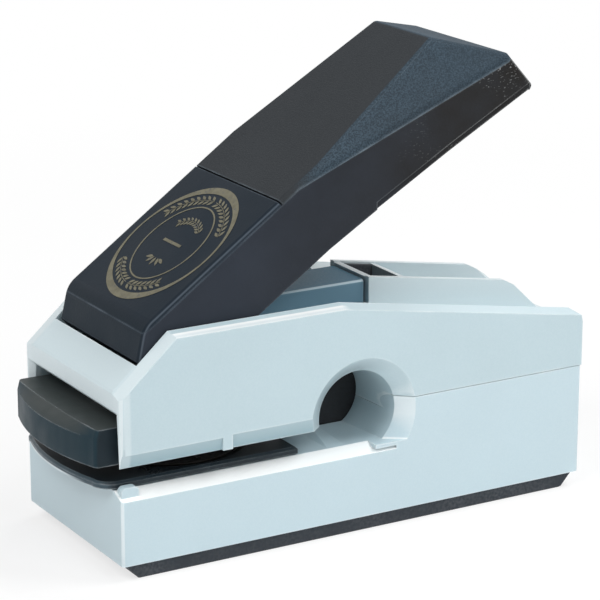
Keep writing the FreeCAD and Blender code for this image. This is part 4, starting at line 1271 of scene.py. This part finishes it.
    def build(self) -> Piece:
        """Stamp the whole ornament.

        Returns:
            The printed piece.
        """
        self.ring(self.OUTER_RING)
        self.ring(self.INNER_RING)
        for branch in self.BRANCHES:
            self.branch(branch)
        a, b = self.DASH
        self.plate([(a, b), (-a, b), (-a, -b), (a, -b)])
        for index in range(self.FAN_LEAVES):
            angle = 180.0 + (index - self.FAN_LEAVES // 2) * self.FAN_STEP
            turn = math.radians(angle)
            middle = (self.FAN_MIDDLE + self.FAN_RADII[0] * math.cos(turn),
                      self.FAN_RADII[1] * math.sin(turn))
            self.leaf(middle, angle, *self.FAN_LEAF)
        return add_mesh("seal_print", self.mesh)


class Handle(SubAssembly):
    """Handle moulding, front panel and grip, with the printed seal."""

    FINISHES = {
        "handle plastic": "handle_shell",
        "panel plastic": "front_panel",
        "grip rubber": "grip_skin",
        "turned steel": "handle_screws",
    }
    ROUNDING = {"handle_shell": 0.0004, "front_panel": 0.0003, "grip_skin": 0.0003}

    def build(self) -> None:
        """Dress the handle and print its seal."""
        super().build()
        self.print_seal()

    def print_seal(self) -> None:
        """Stamp the foil ornament on the front panel."""
        piece = Seal().build()
        self.shop.dress(piece, "seal foil")
        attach(piece, "handle")
        LOG.info("built seal_print")


# ---- studio
@dataclass(frozen=True)
class Lamp:
    """Square area lamp in watts, which faces a point at a height over the desk's middle."""

    name: str
    place: Triple
    size: float
    power: float
    aim: float = 0.03

    def hang(self) -> None:
        """Put the lamp into the scene."""
        data = bpy.data.lights.new(self.name, "AREA")
        data.shape = "SQUARE"
        data.size = self.size
        data.energy = self.power
        place = Vector(self.place)
        add_facing(self.name, data, place, place - Vector((0.0, 0.0, self.aim)))


@dataclass
class Studio:
    """Pale floor, soft lamps and the camera."""

    floor_half: float = 4.0
    floor_colour: Colour = (0.93, 0.93, 0.93)
    floor_roughness: float = 0.9
    floor_specular: float = 0.1
    floor_fade: Ramp = (0.12, 0.45, 0.72, 1.0)
    world_colour: Colour = (0.97, 0.985, 1.0)
    world_strength: float = 0.12
    target: Triple = (-0.0024, 0.0, 0.0534)
    distance: float = 0.661
    azimuth: float = -30.2
    elevation: float = 16.6
    lens: float = 159.6
    sensor: float = 36.0
    clip: Pair = (0.01, 20.0)
    lamps: tuple[Lamp, ...] = (
        Lamp("high softbox", (0.62, -0.37, 1.08), 0.5, 7.4),
        Lamp("rim softbox", (0.60, 0.37, 1.05), 0.5, 3.5),
        Lamp("side softbox", (0.15, -1.00, 0.75), 0.6, 5.4),
        Lamp("fill softbox", (-0.75, -0.20, 1.05), 0.6, 7.0),
        Lamp("front softbox", (-1.10, -0.20, 0.45), 0.8, 2.0, aim=0.04),
    )

    def build(self) -> None:
        """Set up everything round the press."""
        self.build_floor()
        self.build_world()
        for lamp in self.lamps:
            lamp.hang()
        self.build_camera()

    def build_floor(self) -> None:
        """Lay the floor, which fades to white away from the press."""
        half = self.floor_half
        data = bpy.data.meshes.new("floor")
        corners = ((-half, -half), (half, -half), (half, half), (-half, half))
        data.from_pydata([(x, y, 0.0) for x, y in corners], [], [(0, 1, 2, 3)])
        floor = add_object("floor", data)
        material = bpy.data.materials.new("floor")
        material.use_nodes = True
        graph = Graph(material.node_tree)
        nodes = material.node_tree.nodes
        matt = graph.wire(nodes["Principled BSDF"], Base_Color=self.floor_colour,
                          Roughness=self.floor_roughness,
                          Specular_IOR_Level=self.floor_specular)
        glow = graph.wire(graph.node("ShaderNodeEmission"), Color=WHITE)
        away = graph.vector("LENGTH", graph.coordinates()).outputs["Value"]
        seen = graph.product(graph.seen_directly(), graph.ramp(away, self.floor_fade))
        graph.wire(nodes["Material Output"], Surface=graph.blend(seen, matt, glow))
        data.materials.append(material)

    def build_world(self) -> None:
        """Light the room evenly and show white to the camera and to reflections."""
        world = bpy.data.worlds.new("studio")
        world.use_nodes = True
        bpy.context.scene.world = world
        graph = Graph(world.node_tree)
        nodes = world.node_tree.nodes
        even = graph.wire(nodes["Background"], Color=self.world_colour,
                          Strength=self.world_strength)
        white = graph.wire(graph.node("ShaderNodeBackground"), Color=WHITE, Strength=1.0)
        graph.wire(nodes["World Output"],
                   Surface=graph.blend(graph.seen_directly(), even, white))

    def build_camera(self) -> None:
        """Set the camera at its viewing angle."""
        data = bpy.data.cameras.new("camera")
        data.lens = self.lens
        data.sensor_width = self.sensor
        data.clip_start, data.clip_end = self.clip
        a = math.radians(self.azimuth)
        e = math.radians(self.elevation)
        back = Vector((math.sin(a) * math.cos(e), -math.cos(a) * math.cos(e), math.sin(e)))
        place = Vector(self.target) + back * self.distance
        bpy.context.scene.camera = add_facing("camera", data, place, back)


def main() -> None:
    """Load the frame, dress the press and set up the studio."""
    logging.basicConfig(level=logging.INFO, format="%(name)s: %(message)s")
    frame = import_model()
    bpy.context.scene.view_settings.view_transform = "Standard"
    EffectShop().build()
    shop = FinishShop()
    shop.build()
    for group in (Base, Housing, Cartridge, Mechanism, Handle):
        group(frame, shop).build()
        LOG.info("finished %s", group.__name__)
    Studio().build()
    LOG.info("studio ready")


if __name__ == "__main__":
    main()
